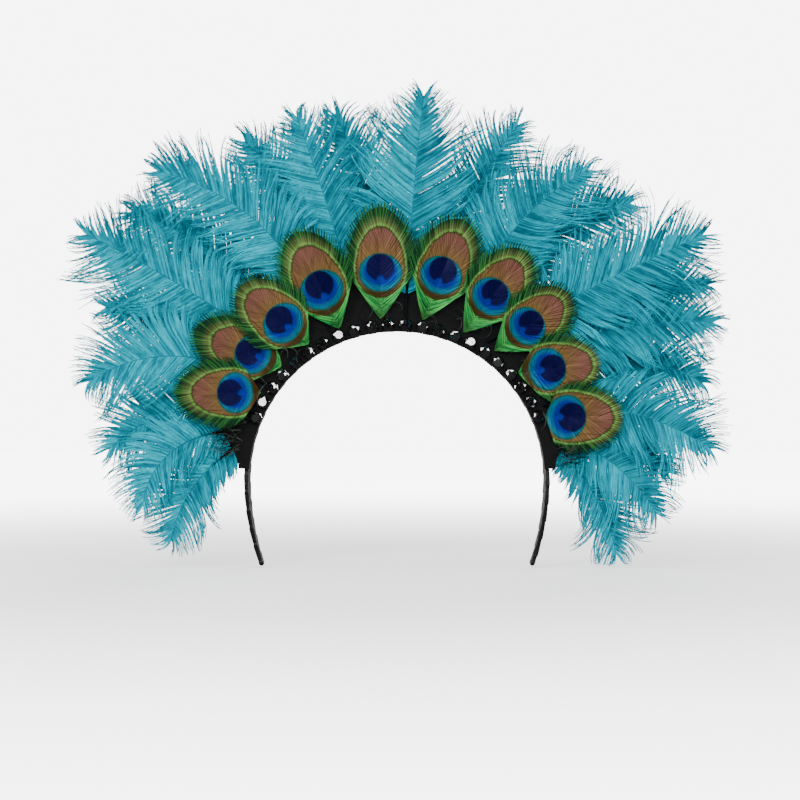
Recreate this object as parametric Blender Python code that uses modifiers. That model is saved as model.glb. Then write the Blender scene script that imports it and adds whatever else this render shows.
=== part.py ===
"""A feather headpiece: a fan of curled plumes and trimmed eye feathers on a curved head band.

The origin is the crown of the head, on the inner face of the band. +Z is up and the front is -Y.
The feathers are drawn in the XZ plane, as the front view shows them, and a depth is added to each
point afterwards, so that every feather lies in a bowl of its own and none passes through another.
"""

import math

import bmesh
import bpy

MM = 0.001

CLEARANCE = 0.35 * MM

BAND_RADIUS = 78.0 * MM
BAND_THICKNESS = 2.5 * MM
BAND_WIDTH = 23.9 * MM
BAND_FRONT_Y = -5.9 * MM
LEG_DROP = 46.0 * MM
LEG_INWARD = 8.0 * MM
LEG_TIP_WIDTH = 9.9 * MM

BACKING_THICKNESS = 2.0 * MM
BACKING_HEIGHT = 31.0 * MM
BACKING_END_HEIGHT = 5.5 * MM
BACKING_END_ANGLE = 4.0
COVER_THICKNESS = 1.6 * MM
COVER_HEIGHT = 20.0 * MM
COVER_END_HEIGHT = 4.0 * MM
COVER_END_ANGLE = 7.0

STONE_COUNT = 22
STONE_FIRST_ANGLE = 156.3
STONE_PITCH_ANGLE = 6.3
STONE_RADIUS = 3.3 * MM
STONE_HEIGHT = 3.4 * MM

QUILL_RADIUS = 0.85 * MM
SPINE_THICKNESS = 0.95 * MM
LOCK_THICKNESS = 0.32 * MM
PLUME_LENGTH = 115.0 * MM
BARB_LENGTH = 38.0 * MM
BARE_QUILL = 13.0 * MM
NOTCH_SHARE = 0.8
SWEEP_AT_BASE = 54.0
SWEEP_AT_TIP = 36.0
PLUME_STATIONS = 24
EDGE_DROOP = 1.35 * MM
TIP_CURL = 8.0 * MM

BOWL_LEAN = 0.09
BOWL_LAYER_SPREAD = 0.04
BOWL_FORWARD = 26.0 * MM

EYE_LENGTH = 60.0 * MM
EYE_HALF_WIDTH = 19.5 * MM
EYE_LOCK = 1.6 * MM
EYE_ROOT_RISE = 5.0 * MM
EYE_LEAN = 0.10
EYE_EDGE_THICKNESS = 0.35 * MM
EYE_SPINE_THICKNESS = 0.55 * MM

CENTRE_Z = -BAND_RADIUS
BACKING_RADIUS = BAND_RADIUS - CLEARANCE
COVER_RADIUS = BAND_RADIUS + BAND_THICKNESS + CLEARANCE
STONE_ROW_RADIUS = BACKING_RADIUS + STONE_RADIUS
EYE_ROOT_RADIUS = STONE_ROW_RADIUS + STONE_RADIUS + CLEARANCE
SEAT_RADIUS = EYE_ROOT_RADIUS + QUILL_RADIUS + CLEARANCE
BOWL_START_RADIUS = BACKING_RADIUS + BACKING_HEIGHT + CLEARANCE
BOWL_REACH = SEAT_RADIUS + PLUME_LENGTH - BOWL_START_RADIUS + 4.0 * MM

BACKING_BACK_Y = BAND_FRONT_Y - CLEARANCE
BACKING_FRONT_Y = BACKING_BACK_Y - BACKING_THICKNESS
STONE_BACK_Y = BACKING_FRONT_Y - CLEARANCE
LAYER_STEP = 2.0 * SPINE_THICKNESS + 0.6 * CLEARANCE
LAYER_QUILL_Y = (
    BACKING_FRONT_Y - CLEARANCE - SPINE_THICKNESS,
    BACKING_BACK_Y + CLEARANCE + SPINE_THICKNESS,
    BACKING_BACK_Y + CLEARANCE + SPINE_THICKNESS + LAYER_STEP,
    BACKING_BACK_Y + CLEARANCE + SPINE_THICKNESS + 2.0 * LAYER_STEP,
)
COVER_BACK_Y = LAYER_QUILL_Y[3] + QUILL_RADIUS + 1.2 * CLEARANCE + COVER_THICKNESS
EYE_ROOT_Y = BACKING_FRONT_Y - CLEARANCE - EYE_SPINE_THICKNESS
EYE_PLANE_Y = LAYER_QUILL_Y[0] - SPINE_THICKNESS - CLEARANCE - EYE_SPINE_THICKNESS

MATERIALS = {
    "satin_black": ((0.012, 0.012, 0.014), 0.55, 0.0),
    "felt_black": ((0.008, 0.008, 0.009), 0.95, 0.0),
    "jet_glass": ((0.004, 0.004, 0.005), 0.06, 0.0),
    "plume_turquoise": ((0.012, 0.36, 0.46), 0.7, 0.0),
    "peacock_green": ((0.06, 0.27, 0.09), 0.45, 0.2),
}

# name, seat angle, heading and turn in degrees, shares of plume and barb length, layer
PLUMES = (
    ("plume_01", 163.0, 179.0, 92.0, 0.64, 0.79, 1),
    ("plume_02", 155.0, 172.0, 56.0, 0.71, 0.89, 2),
    ("plume_03", 144.0, 151.0, 68.0, 0.85, 0.95, 0),
    ("plume_04", 138.0, 143.0, 40.0, 0.87, 0.95, 3),
    ("plume_05", 132.5, 143.0, 12.0, 1.08, 1.05, 1),
    ("plume_06", 123.5, 128.0, 36.0, 1.03, 0.89, 2),
    ("plume_07", 114.5, 112.0, 60.0, 1.11, 0.87, 0),
    ("plume_08", 108.5, 102.0, 40.0, 0.99, 0.84, 2),
    ("plume_09", 102.5, 106.0, 4.0, 0.98, 1.00, 1),
    ("plume_10", 95.0, 93.0, 24.0, 0.98, 1.00, 3),
    ("plume_11", 87.0, 87.0, -4.0, 1.00, 1.16, 0),
    ("plume_12", 77.5, 78.0, -28.0, 1.00, 0.89, 2),
    ("plume_13", 68.0, 69.0, -44.0, 0.97, 1.05, 1),
    ("plume_14", 62.0, 66.0, -62.0, 1.01, 0.95, 3),
    ("plume_15", 57.0, 28.0, -4.0, 1.09, 1.05, 0),
    ("plume_16", 51.0, 33.0, -36.0, 1.03, 0.89, 2),
    ("plume_17", 45.5, 23.0, -28.0, 0.96, 0.89, 1),
    ("plume_18", 35.0, 26.0, -60.0, 0.85, 0.89, 3),
    ("plume_19", 27.0, 2.0, -40.0, 0.81, 0.89, 0),
    ("plume_20", 22.0, -11.0, -32.0, 0.63, 0.76, 2),
    ("plume_21", 17.0, -21.0, -42.0, 0.63, 0.82, 1),
    ("plume_22", 168.0, 215.0, 48.0, 0.56, 0.71, 2),
    ("plume_23", 12.0, -47.0, -34.0, 0.59, 0.68, 2),
)

# name, root and axis angles, shares of eye length and half width, tilt in degrees, set back in mm
EYES = (
    ("peacock_eye_01", 147.6, 180.0, 0.75, 0.94, 0.0, -1.0),
    ("peacock_eye_02", 135.4, 157.5, 0.84, 0.95, 0.0, 1.5),
    ("peacock_eye_03", 123.2, 140.0, 0.80, 0.98, 0.0, -1.0),
    ("peacock_eye_04", 110.9, 114.6, 0.94, 1.02, -9.0, 0.0),
    ("peacock_eye_05", 95.7, 90.5, 1.00, 1.00, 0.0, 1.5),
    ("peacock_eye_06", 80.7, 68.0, 0.96, 0.98, 9.0, 0.0),
    ("peacock_eye_07", 65.6, 52.0, 0.91, 0.95, 8.5, -0.2),
    ("peacock_eye_08", 52.8, 37.0, 0.84, 0.92, 9.0, 0.0),
    ("peacock_eye_09", 41.3, 7.0, 0.71, 0.96, 8.0, -0.6),
    ("peacock_eye_10", 23.0, -2.0, 0.67, 0.99, 9.0, 0.0),
)

# share of the eye's length, share of its half width, and 1 where a lock of the fringe ends
EYE_OUTLINE = (
    (0.00, 0.03, 0),
    (0.05, 0.14, 0),
    (0.11, 0.28, 0),
    (0.18, 0.45, 0),
    (0.30, 0.72, 0),
    (0.37, 0.90, 1),
    (0.42, 0.88, 0),
    (0.47, 1.00, 1),
    (0.52, 0.93, 0),
    (0.57, 1.00, 1),
    (0.62, 0.88, 0),
    (0.67, 0.92, 1),
    (0.72, 0.77, 0),
    (0.77, 0.78, 1),
    (0.82, 0.59, 0),
    (0.87, 0.57, 1),
    (0.92, 0.33, 0),
    (0.96, 0.24, 1),
    (1.00, 0.04, 0),
)


def clear_scene():
    for obj in list(bpy.data.objects):
        bpy.data.objects.remove(obj, do_unlink=True)


def make_material(name):
    colour, roughness, metallic = MATERIALS[name]
    material = bpy.data.materials.new(name)
    material.use_nodes = True
    shader = material.node_tree.nodes["Principled BSDF"]
    shader.inputs["Base Color"].default_value = (*colour, 1.0)
    shader.inputs["Roughness"].default_value = roughness
    shader.inputs["Metallic"].default_value = metallic
    material.diffuse_color = (*colour, 1.0)
    return material


def add_object(name, points, faces, material):
    """A mesh object in the part's collection, with its faces turned outward."""
    mesh = bpy.data.meshes.new(name)
    mesh.from_pydata(points, [], faces)
    shape = bmesh.new()
    shape.from_mesh(mesh)
    bmesh.ops.recalc_face_normals(shape, faces=shape.faces)
    shape.to_mesh(mesh)
    shape.free()
    mesh.materials.append(materials[material])
    obj = bpy.data.objects.new(name, mesh)
    part.objects.link(obj)
    return obj


def on_arc(radius, degrees):
    """x and z of the point at this angle on a circle about the centre of the band's arc."""
    angle = math.radians(degrees)
    return radius * math.cos(angle), CENTRE_Z + radius * math.sin(angle)


def smooth(share):
    share = min(max(share, 0.0), 1.0)
    return share * share * (3.0 - 2.0 * share)


def loft(name, sections, material):
    """A closed body over sections of left edge, spine and right edge points.

    A section holds the three points and the half thickness at the edges and at the spine. The
    thickness lies along Y.
    """
    points = []
    for left, spine, right, edge, middle in sections:
        ring = ((left, -edge), (spine, -middle), (right, -edge))
        points += [(x, y + offset, z) for (x, y, z), offset in ring]
        points += [(x, y - offset, z) for (x, y, z), offset in reversed(ring)]
    faces = [tuple(range(6)), tuple(range(len(points) - 6, len(points)))]
    for start in range(0, len(points) - 6, 6):
        for side in range(6):
            after = (side + 1) % 6
            faces.append((start + side, start + after, start + 6 + after, start + 6 + side))
    return add_object(name, points, faces, material)


def mirrored_strip(name, edge_a, edge_b, thickness, bevel, material):
    """A ribbon between two rows of points, mirrored at X = 0, thickened and with its edges broken.

    Both rows start at X = 0. The thickness goes to the side that the ribbon's normals point to.
    """
    count = len(edge_a)
    faces = [(i, i + 1, count + i + 1, count + i) for i in range(count - 1)]
    mesh = bpy.data.meshes.new(name)
    mesh.from_pydata(edge_a + edge_b, [], faces)
    mesh.shade_smooth()
    mesh.set_sharp_from_angle(angle=math.radians(40.0))
    mesh.materials.append(materials[material])
    obj = bpy.data.objects.new(name, mesh)
    part.objects.link(obj)
    other_half = obj.modifiers.new("other_half", "MIRROR")
    other_half.merge_threshold = 0.0001
    shell = obj.modifiers.new("thickness", "SOLIDIFY")
    shell.thickness = thickness
    shell.offset = 1.0
    rounding = obj.modifiers.new("edges", "BEVEL")
    rounding.width = bevel
    rounding.segments = 1
    rounding.limit_method = "ANGLE"
    rounding.angle_limit = math.radians(50.0)
    return obj


def make_headband():
    """Half of the path: a quarter circle from the crown, then a leg that leans inward."""
    path = []
    for step in range(10):
        x, z = on_arc(BAND_RADIUS, 90.0 - 10.0 * step)
        path.append((x, z, 0.0))
    for step in range(1, 6):
        share = step / 5.0
        x = BAND_RADIUS - LEG_INWARD * share * share
        inset = (BAND_WIDTH - LEG_TIP_WIDTH) / 2.0 * smooth(share)
        path.append((x, CENTRE_Z - LEG_DROP * share, inset))
    path[0] = (0.0, 0.0, 0.0)
    front = [(x, BAND_FRONT_Y + inset, z) for x, z, inset in path]
    back = [(x, BAND_FRONT_Y + BAND_WIDTH - inset, z) for x, z, inset in path]
    mirrored_strip("headband", front, back, BAND_THICKNESS, 0.6 * MM, "satin_black")


def make_crescent(name, inner, height, end_angle, end_height, back_y, thickness, material):
    """A flat plate that stands on an arc. It is lower toward both ends."""
    steps = 17
    inside, outside = [], []
    for step in range(steps + 1):
        degrees = 90.0 - (90.0 - end_angle) * step / steps
        rise = smooth((degrees - end_angle) / 24.0)
        outer = inner + end_height + (height - end_height) * rise
        for row, radius in ((inside, inner), (outside, outer)):
            x, z = on_arc(radius, degrees)
            row.append((x if step else 0.0, back_y, z))
    mirrored_strip(name, inside, outside, thickness, 0.4 * MM, material)


def make_stone(number, degrees):
    """An eight-sided crown under a flat table, on a girdle that narrows to a flat back."""
    crown = STONE_HEIGHT * 0.68
    shape = bmesh.new()
    bmesh.ops.create_cone(
        shape,
        cap_ends=True,
        segments=8,
        radius1=STONE_RADIUS,
        radius2=STONE_RADIUS * 0.55,
        depth=crown,
    )
    girdle = min(shape.faces, key=lambda face: face.calc_center_median().z)
    bottom = bmesh.ops.extrude_face_region(shape, geom=[girdle])["geom"]
    bmesh.ops.delete(shape, geom=[girdle], context="FACES_ONLY")
    for vert in (item for item in bottom if isinstance(item, bmesh.types.BMVert)):
        vert.co.xy *= 0.9
        vert.co.z -= STONE_HEIGHT - crown
    bmesh.ops.recalc_face_normals(shape, faces=shape.faces)
    mesh = bpy.data.meshes.new(f"jet_stone_{number:02d}")
    shape.to_mesh(mesh)
    shape.free()
    mesh.materials.append(materials["jet_glass"])
    obj = bpy.data.objects.new(mesh.name, mesh)
    x, z = on_arc(STONE_ROW_RADIUS, degrees)
    obj.location = (x, STONE_BACK_Y - STONE_HEIGHT + crown / 2.0, z)
    obj.rotation_euler = (math.radians(90.0), math.radians(17.0 * number), 0.0)
    part.objects.link(obj)


def plume_depth(layer, x, z, along):
    """Depth of a point of a plume: its layer's bowl, and the curl of its own tip.

    Every quill starts against the backing and moves out to its layer before its barbs begin.
    """
    radius = math.hypot(x, z - CENTRE_Z)
    root = LAYER_QUILL_Y[min(layer, 1)]
    y = root + (LAYER_QUILL_Y[layer] - root) * smooth((radius - SEAT_RADIUS) / BARE_QUILL)
    out = max(0.0, radius - BOWL_START_RADIUS)
    y += (BOWL_LEAN + BOWL_LAYER_SPREAD * layer) * out
    y -= BOWL_FORWARD * (out / BOWL_REACH) ** 2.2
    return y - TIP_CURL / (1.0 + layer) * max(0.0, (along - 0.55) / 0.45) ** 2


def plume_path(seat, heading, turn, length, steps):
    """Points and headings of a quill that turns more and more toward its tip."""
    x, z = on_arc(SEAT_RADIUS, seat)
    path = [(x, z, math.radians(heading))]
    for step in range(steps):
        angle = math.radians(heading + turn * ((step + 0.5) / steps) ** 1.3)
        x += length / steps * math.cos(angle)
        z += length / steps * math.sin(angle)
        path.append((x, z, math.radians(heading + turn * ((step + 1.0) / steps) ** 1.3)))
    return path


def make_plume(name, seat, heading, turn, length_share, barb_share, layer):
    """Barbs sweep forward from the quill and end in pointed locks along both sides.

    On the inside of a curl the barbs stop short of where they would cross.
    """
    length = PLUME_LENGTH * length_share
    barb = BARB_LENGTH * barb_share
    fine = 240
    path = plume_path(seat, heading, turn, length, fine)
    bare = BARE_QUILL / length
    shares = [0.0, bare * 0.9] + [
        bare + (1.0 - bare) * step / (PLUME_STATIONS - 3) for step in range(PLUME_STATIONS - 2)
    ]
    sections = []
    for number, share in enumerate(shares):
        x, z, angle = path[round(share * fine)]
        sweep = math.radians(SWEEP_AT_BASE + (SWEEP_AT_TIP - SWEEP_AT_BASE) * share)
        reach = barb * (0.3 + 0.7 * smooth((share - bare) / 0.32))
        reach = min(reach, 0.95 * (1.0 - share) * length / math.cos(sweep) + QUILL_RADIUS)
        if number % 2:
            reach *= NOTCH_SHARE
        if number < 2:
            reach, sweep = QUILL_RADIUS, math.radians(90.0)
        curvature = math.radians(abs(turn)) * 1.3 * max(share, 0.02) ** 0.3 / length
        inside = min(reach, 0.8 * math.sin(sweep) / curvature)
        sides = []
        for sign in (1.0, -1.0):
            extent = inside if sign * turn > 0.0 else reach
            side_x = x + extent * math.cos(angle + sign * sweep)
            side_z = z + extent * math.sin(angle + sign * sweep)
            along = share + extent * math.cos(sweep) / length
            droop = EDGE_DROOP * (extent / BARB_LENGTH) ** 2
            sides.append((side_x, plume_depth(layer, side_x, side_z, along) - droop, side_z))
        spine = (x, plume_depth(layer, x, z, share), z)
        middle = QUILL_RADIUS if number < 3 else SPINE_THICKNESS * (1.0 - 0.4 * share)
        edge = 0.6 * QUILL_RADIUS if number < 2 else LOCK_THICKNESS
        sections.append((sides[0], spine, sides[1], edge, middle))
    loft(name, sections, "plume_turquoise")


def make_eye(name, root, axis, length_share, width_share, tilt, set_back):
    """A trimmed eye feather: a cut point at the root and locks all round the fringe.

    The cut point lies on the backing and the rest passes in front of the quills.
    A positive tilt brings the edge on the left of the axis forward, over its neighbour.
    """
    root_x, root_z = on_arc(EYE_ROOT_RADIUS, root)
    axis_x, axis_z = math.cos(math.radians(axis)), math.sin(math.radians(axis))
    slope = math.tan(math.radians(tilt))
    sections = []
    for along, across, lock in EYE_OUTLINE:
        row = []
        for side in (1.0, 0.0, -1.0):
            u = side * across * EYE_HALF_WIDTH * width_share
            v = along * EYE_LENGTH * length_share + EYE_LOCK * lock * abs(side)
            y = EYE_PLANE_Y + set_back * MM - EYE_LEAN * v - slope * u
            y = EYE_ROOT_Y + (y - EYE_ROOT_Y) * smooth(v / EYE_ROOT_RISE)
            row.append((root_x + v * axis_x - u * axis_z, y, root_z + v * axis_z + u * axis_x))
        sections.append((*row, EYE_EDGE_THICKNESS, EYE_SPINE_THICKNESS))
    loft(name, sections, "peacock_green")


clear_scene()
part = bpy.data.collections.new("feather_headpiece")
bpy.context.scene.collection.children.link(part)
materials = {name: make_material(name) for name in MATERIALS}

make_headband()
make_crescent(
    "backing",
    BACKING_RADIUS,
    BACKING_HEIGHT,
    BACKING_END_ANGLE,
    BACKING_END_HEIGHT,
    BACKING_BACK_Y,
    BACKING_THICKNESS,
    "felt_black",
)
make_crescent(
    "back_cover",
    COVER_RADIUS,
    COVER_HEIGHT,
    COVER_END_ANGLE,
    COVER_END_HEIGHT,
    COVER_BACK_Y,
    COVER_THICKNESS,
    "felt_black",
)
for number in range(1, STONE_COUNT + 1):
    make_stone(number, STONE_FIRST_ANGLE - STONE_PITCH_ANGLE * (number - 1))
for row in PLUMES:
    make_plume(*row)
for row in EYES:
    make_eye(*row)
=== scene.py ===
# %% [markdown]
# # A feather headpiece
# The object is a stage headpiece: a covered head band carries a stiff black crescent, dyed
# ostrich plumes fan out behind it, trimmed peacock eyes lie in front, and cut jet stones
# follow the hair line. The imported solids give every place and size. This lesson dresses them.

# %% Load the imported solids
import math

import bmesh
import bpy
import numpy as np
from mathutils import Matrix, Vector


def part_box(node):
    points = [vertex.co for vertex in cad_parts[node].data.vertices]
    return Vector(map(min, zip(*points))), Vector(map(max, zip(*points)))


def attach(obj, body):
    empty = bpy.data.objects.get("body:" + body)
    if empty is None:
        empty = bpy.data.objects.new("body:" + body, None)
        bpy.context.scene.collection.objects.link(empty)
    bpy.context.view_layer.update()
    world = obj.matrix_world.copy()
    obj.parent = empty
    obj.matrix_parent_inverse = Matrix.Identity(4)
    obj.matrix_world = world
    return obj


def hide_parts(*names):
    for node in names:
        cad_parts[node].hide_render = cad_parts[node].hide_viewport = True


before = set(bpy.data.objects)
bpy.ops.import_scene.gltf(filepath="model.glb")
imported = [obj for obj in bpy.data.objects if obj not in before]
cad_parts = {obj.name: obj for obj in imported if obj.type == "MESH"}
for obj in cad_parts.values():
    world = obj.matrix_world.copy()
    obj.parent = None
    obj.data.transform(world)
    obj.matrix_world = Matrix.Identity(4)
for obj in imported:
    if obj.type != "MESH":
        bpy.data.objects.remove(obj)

MM = 0.001
scene = bpy.context.scene
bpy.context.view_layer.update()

# %% [markdown]
# ## The camera
# A long lens from straight ahead keeps the fan flat, as a product photographer would. It could
# be aimed with a constraint, but a plain place and turn is easier to repeat, and the other
# views can move it.

# %% Place the camera
camera_data = bpy.data.cameras.new("camera")
camera_data.sensor_width = 36.0
camera_data.lens = 90.0
camera = bpy.data.objects.new("camera", camera_data)
camera.location = (0.0016, -1.055, -0.0364)
camera.rotation_euler = (math.radians(90.0), 0.0, 0.0)
scene.collection.objects.link(camera)
scene.camera = camera
print("camera sees", round(camera_data.sensor_width / camera_data.lens * 1.04, 3), "m across the fan")

# %% [markdown]
# ## A bench for node trees
# Feathers, stitches and finishes are all node trees here. Drawing one by hand in the editor
# can't be repeated, so a small helper adds one node at a time and wires what it is given. The
# same helper serves geometry and shading.


# %% Helper: draw a node tree
class Bench:
    """A node tree under construction."""

    def __init__(self, tree):
        self.tree = tree

    def add(self, kind, wires=None, **settings):
        node = self.tree.nodes.new(kind)
        for name, value in settings.items():
            setattr(node, name, value)
        for place, value in (wires or {}).items():
            self.wire(value, node.inputs[place])
        return node

    def wire(self, value, socket):
        if isinstance(value, bpy.types.Node):
            value = value.outputs[0]
        if isinstance(value, bpy.types.NodeSocket):
            self.tree.links.new(value, socket)
        else:
            socket.default_value = value

    def math(self, operation, *values, clamp=False):
        node = self.add("ShaderNodeMath", dict(enumerate(values)), operation=operation, use_clamp=clamp)
        return node.outputs[0]

    def vector(self, operation, *values):
        node = self.add("ShaderNodeVectorMath", dict(enumerate(values)), operation=operation)
        return node.outputs[0]

    def xyz(self, x=0.0, y=0.0, z=0.0):
        return self.add("ShaderNodeCombineXYZ", {0: x, 1: y, 2: z}).outputs[0]

    def scaled(self, vector, amount):
        node = self.add("ShaderNodeVectorMath", {0: vector, 3: amount}, operation="SCALE")
        return node.outputs[0]

    def ramp(self, value, low, high, to_low=0.0, to_high=1.0, smooth=True):
        style = "SMOOTHSTEP" if smooth else "LINEAR"
        wires = {0: value, 1: low, 2: high, 3: to_low, 4: to_high}
        return self.add("ShaderNodeMapRange", wires, interpolation_type=style).outputs[0]

    def tint(self, share, first, second):
        node = self.add(
            "ShaderNodeMix", {0: share, 6: first, 7: second}, data_type="RGBA"
        )
        return node.outputs[2]


# %% Helper: geometry trees with named inputs
SOCKETS = {float: "NodeSocketFloat", int: "NodeSocketInt"}


class GrowingBench(Bench):
    """A Geometry Nodes tree that grows pieces from guide lines."""

    def __init__(self, name, sizes):
        super().__init__(bpy.data.node_groups.new(name, "GeometryNodeTree"))
        face = self.tree.interface
        face.new_socket("Guide", in_out="INPUT", socket_type="NodeSocketGeometry")
        for size, value in sizes.items():
            socket = face.new_socket(size, in_out="INPUT", socket_type=SOCKETS[type(value)])
            socket.default_value = value
        face.new_socket("Piece", in_out="OUTPUT", socket_type="NodeSocketGeometry")
        self.given = self.add("NodeGroupInput").outputs

    def read(self, name, kind="FLOAT"):
        return self.add("GeometryNodeInputNamedAttribute", {0: name}, data_type=kind).outputs[0]

    def store(self, geometry, name, value, kind="FLOAT"):
        wires = {0: geometry, 2: name, 3: value}
        node = self.add("GeometryNodeStoreNamedAttribute", wires, data_type=kind, domain="POINT")
        return node.outputs[0]

    def chance(self, low, high, label, seed, step=0.0):
        """A random number for each label, the same on every run. Each step draws a new set."""
        wires = {2: low, 3: high, 8: self.math("ADD", seed, step) if step else seed}
        if label is not None:
            wires[7] = label
        return self.add("FunctionNodeRandomValue", wires, data_type="FLOAT").outputs[1]

    def stray(self, amount, seed):
        """A small random way to lean."""
        wires = {0: (-amount,) * 3, 1: (amount,) * 3, 8: seed}
        return self.add("FunctionNodeRandomValue", wires, data_type="FLOAT_VECTOR").outputs[0]

    def turned(self, x=0.0, y=0.0, z=0.0):
        return self.add("FunctionNodeEulerToRotation", {0: self.xyz(x, y, z)}).outputs[0]

    def points(self, count):
        line = self.add("GeometryNodeMeshLine", {"Count": count})
        return self.add("GeometryNodeMeshToPoints", {0: line})

    def strands(self, points, count):
        """A line of count points on each place, with its run stored from 0 to 1."""
        line = {0: self.add("GeometryNodeCurvePrimitiveLine"), 2: count}
        line = self.add("GeometryNodeResampleCurve", line, mode="COUNT")
        line = self.store(line, "run", self.add("GeometryNodeSplineParameter").outputs[0])
        lines = self.add("GeometryNodeInstanceOnPoints", {0: points, 2: line})
        return self.add("GeometryNodeRealizeInstances", {0: lines})

    def tube(self, curve, radius, sides, capped=False):
        ring = self.add("GeometryNodeCurvePrimitiveCircle", {0: sides, 4: 1.0})
        return self.add("GeometryNodeCurveToMesh", {0: curve, 1: ring, 2: radius, 3: capped}).outputs[0]

    def finish(self, parts):
        """Joins (geometry, material) pairs, makes them real and hands them out."""
        joined = self.add("GeometryNodeJoinGeometry")
        for geometry, material in reversed(parts):
            real = self.add("GeometryNodeRealizeInstances", {0: geometry})
            painted = self.add("GeometryNodeSetMaterial", {0: real, 2: material})
            self.tree.links.new(painted.outputs[0], joined.inputs[0])
        self.add("NodeGroupOutput", {0: joined})
        return self.tree


def guide_mesh(name, lines, numbers):
    """A mesh of open lines. Each point carries the numbers that the tree reads by name."""
    points = [point for line in lines for point in line]
    edges, start = [], 0
    for line in lines:
        edges += [(start + i, start + i + 1) for i in range(len(line) - 1)]
        start += len(line)
    mesh = bpy.data.meshes.new(name)
    mesh.from_pydata(points, edges, [])
    for label, values in numbers.items():
        layer = mesh.attributes.new(label, "FLOAT", "POINT")
        layer.data.foreach_set("value", values)
    return mesh


def grow(name, guide, tree, sizes):
    """Runs a tree on a guide and returns a plain mesh object at the origin."""
    stand = bpy.data.objects.new(name + "_guide", guide)
    scene.collection.objects.link(stand)
    modifier = stand.modifiers.new("grow", "NODES")
    modifier.node_group = tree
    for item in tree.interface.items_tree:
        if item.in_out == "INPUT" and item.name in sizes:
            modifier[item.identifier] = sizes[item.name]
    graph = bpy.context.evaluated_depsgraph_get()
    grown = bpy.data.meshes.new_from_object(
        stand.evaluated_get(graph), preserve_all_data_layers=True, depsgraph=graph
    )
    bpy.data.objects.remove(stand)
    bpy.data.meshes.remove(guide)
    grown.name = name
    piece = bpy.data.objects.new(name, grown)
    scene.collection.objects.link(piece)
    return piece


def triangles(piece):
    return sum(len(face.vertices) - 2 for face in piece.data.polygons)


# %% [markdown]
# ## Dye and finish
# Ostrich takes dye unevenly: each barb is a shade of its own. On top of the dye, the colour is
# darkened where barbs lie deep against the quill, as painted shade, and darker again at the thin
# ends. A flat colour would look like plastic. One node group mixes the shades from numbers that
# each barb carries, and every fibre finish uses it.


# %% Fibre shading, shared by every feather
def dye(red, green, blue):
    """A colour as seen on a screen, 0 to 255, as the light that Blender works in."""
    light = []
    for part in (red, green, blue):
        part /= 255.0
        light.append(part / 12.92 if part <= 0.04045 else ((part + 0.055) / 1.055) ** 2.4)
    return (*light, 1.0)


def shading_group(name, inputs, outputs):
    tree = bpy.data.node_groups.new(name, "ShaderNodeTree")
    for label, kind, value in inputs:
        socket = tree.interface.new_socket(label, in_out="INPUT", socket_type=kind)
        if value is not None:
            socket.default_value = value
    for label, kind in outputs:
        tree.interface.new_socket(label, in_out="OUTPUT", socket_type=kind)
    bench = Bench(tree)
    given = bench.add("NodeGroupInput").outputs
    return bench, given


def make_fibre_group():
    colour, number = "NodeSocketColor", "NodeSocketFloat"
    bench, given = shading_group(
        "fibre_shade",
        (
            ("Deep", colour, dye(0, 100, 118)),
            ("Body", colour, dye(12, 146, 166)),
            ("Pale", colour, dye(60, 190, 205)),
            ("Run", number, 0.5),
            ("Tone", number, 0.5),
            ("Strand", "NodeSocketVector", None),
            ("Mottle Scale", number, 160.0),
        ),
        (("Colour", colour), ("Height", number)),
    )
    streak = bench.add("ShaderNodeTexNoise", {"Vector": given["Strand"], "Scale": 2.4})
    streak = bench.ramp(streak.outputs[0], 0.35, 0.65, -0.22, 0.22)
    place = bench.add("ShaderNodeTexCoord").outputs["Object"]
    cloud = bench.add("ShaderNodeTexNoise", {"Vector": place, "Scale": given["Mottle Scale"]})
    cloud.inputs["Detail"].default_value = 2.0
    drift = bench.math("MULTIPLY_ADD", cloud.outputs[0], 0.7, -0.35)
    # Painted shade: darker near the quill, where barbs lie deep against it; darker also toward the thin
    # ends.
    along = bench.math("MULTIPLY", bench.ramp(given["Run"], 0.0, 0.4, 0.25, 0.0), -1.0)
    along = bench.math("ADD", along, bench.ramp(given["Run"], 0.72, 1.0, 0.0, -0.3))
    shade = bench.math("ADD", bench.math("ADD", given["Tone"], drift), bench.math("ADD", streak, along))
    low = bench.tint(bench.ramp(shade, 0.0, 0.5, smooth=False), given["Deep"], given["Body"])
    mixed = bench.tint(bench.ramp(shade, 0.5, 1.0, smooth=False), low, given["Pale"])
    grain = bench.add("ShaderNodeTexNoise", {"Vector": place, "Scale": 2600.0})
    bench.add("NodeGroupOutput", {0: mixed, 1: grain.outputs[0]})
    return bench.tree


fibre_shade = make_fibre_group()


def new_finish(name):
    """A new material, a bench on its tree, and its shader."""
    material = bpy.data.materials.new(name)
    material.use_nodes = True
    return material, Bench(material.node_tree), material.node_tree.nodes["Principled BSDF"]


def add_relief(bench, shader, height, strength, depth):
    bump = bench.add("ShaderNodeBump", {"Height": height, "Strength": strength, "Distance": depth})
    bench.wire(bump, shader.inputs["Normal"])


def fibre_material(name, deep, body, pale, roughness):
    material, bench, shader = new_finish(name)
    wires = {"Deep": deep, "Body": body, "Pale": pale}
    for label, kind in (("Run", "Fac"), ("Tone", "Fac"), ("Strand", "Vector")):
        wires[label] = bench.add("ShaderNodeAttribute", attribute_name=label.lower()).outputs[kind]
    shade = bench.add("ShaderNodeGroup", wires, node_tree=fibre_shade)
    bench.wire(shade.outputs["Colour"], shader.inputs["Base Color"])
    shader.inputs["Roughness"].default_value = roughness
    shader.inputs["Specular IOR Level"].default_value = 0.06
    add_relief(bench, shader, shade.outputs["Height"], 0.2, 0.05 * MM)
    return material


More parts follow.
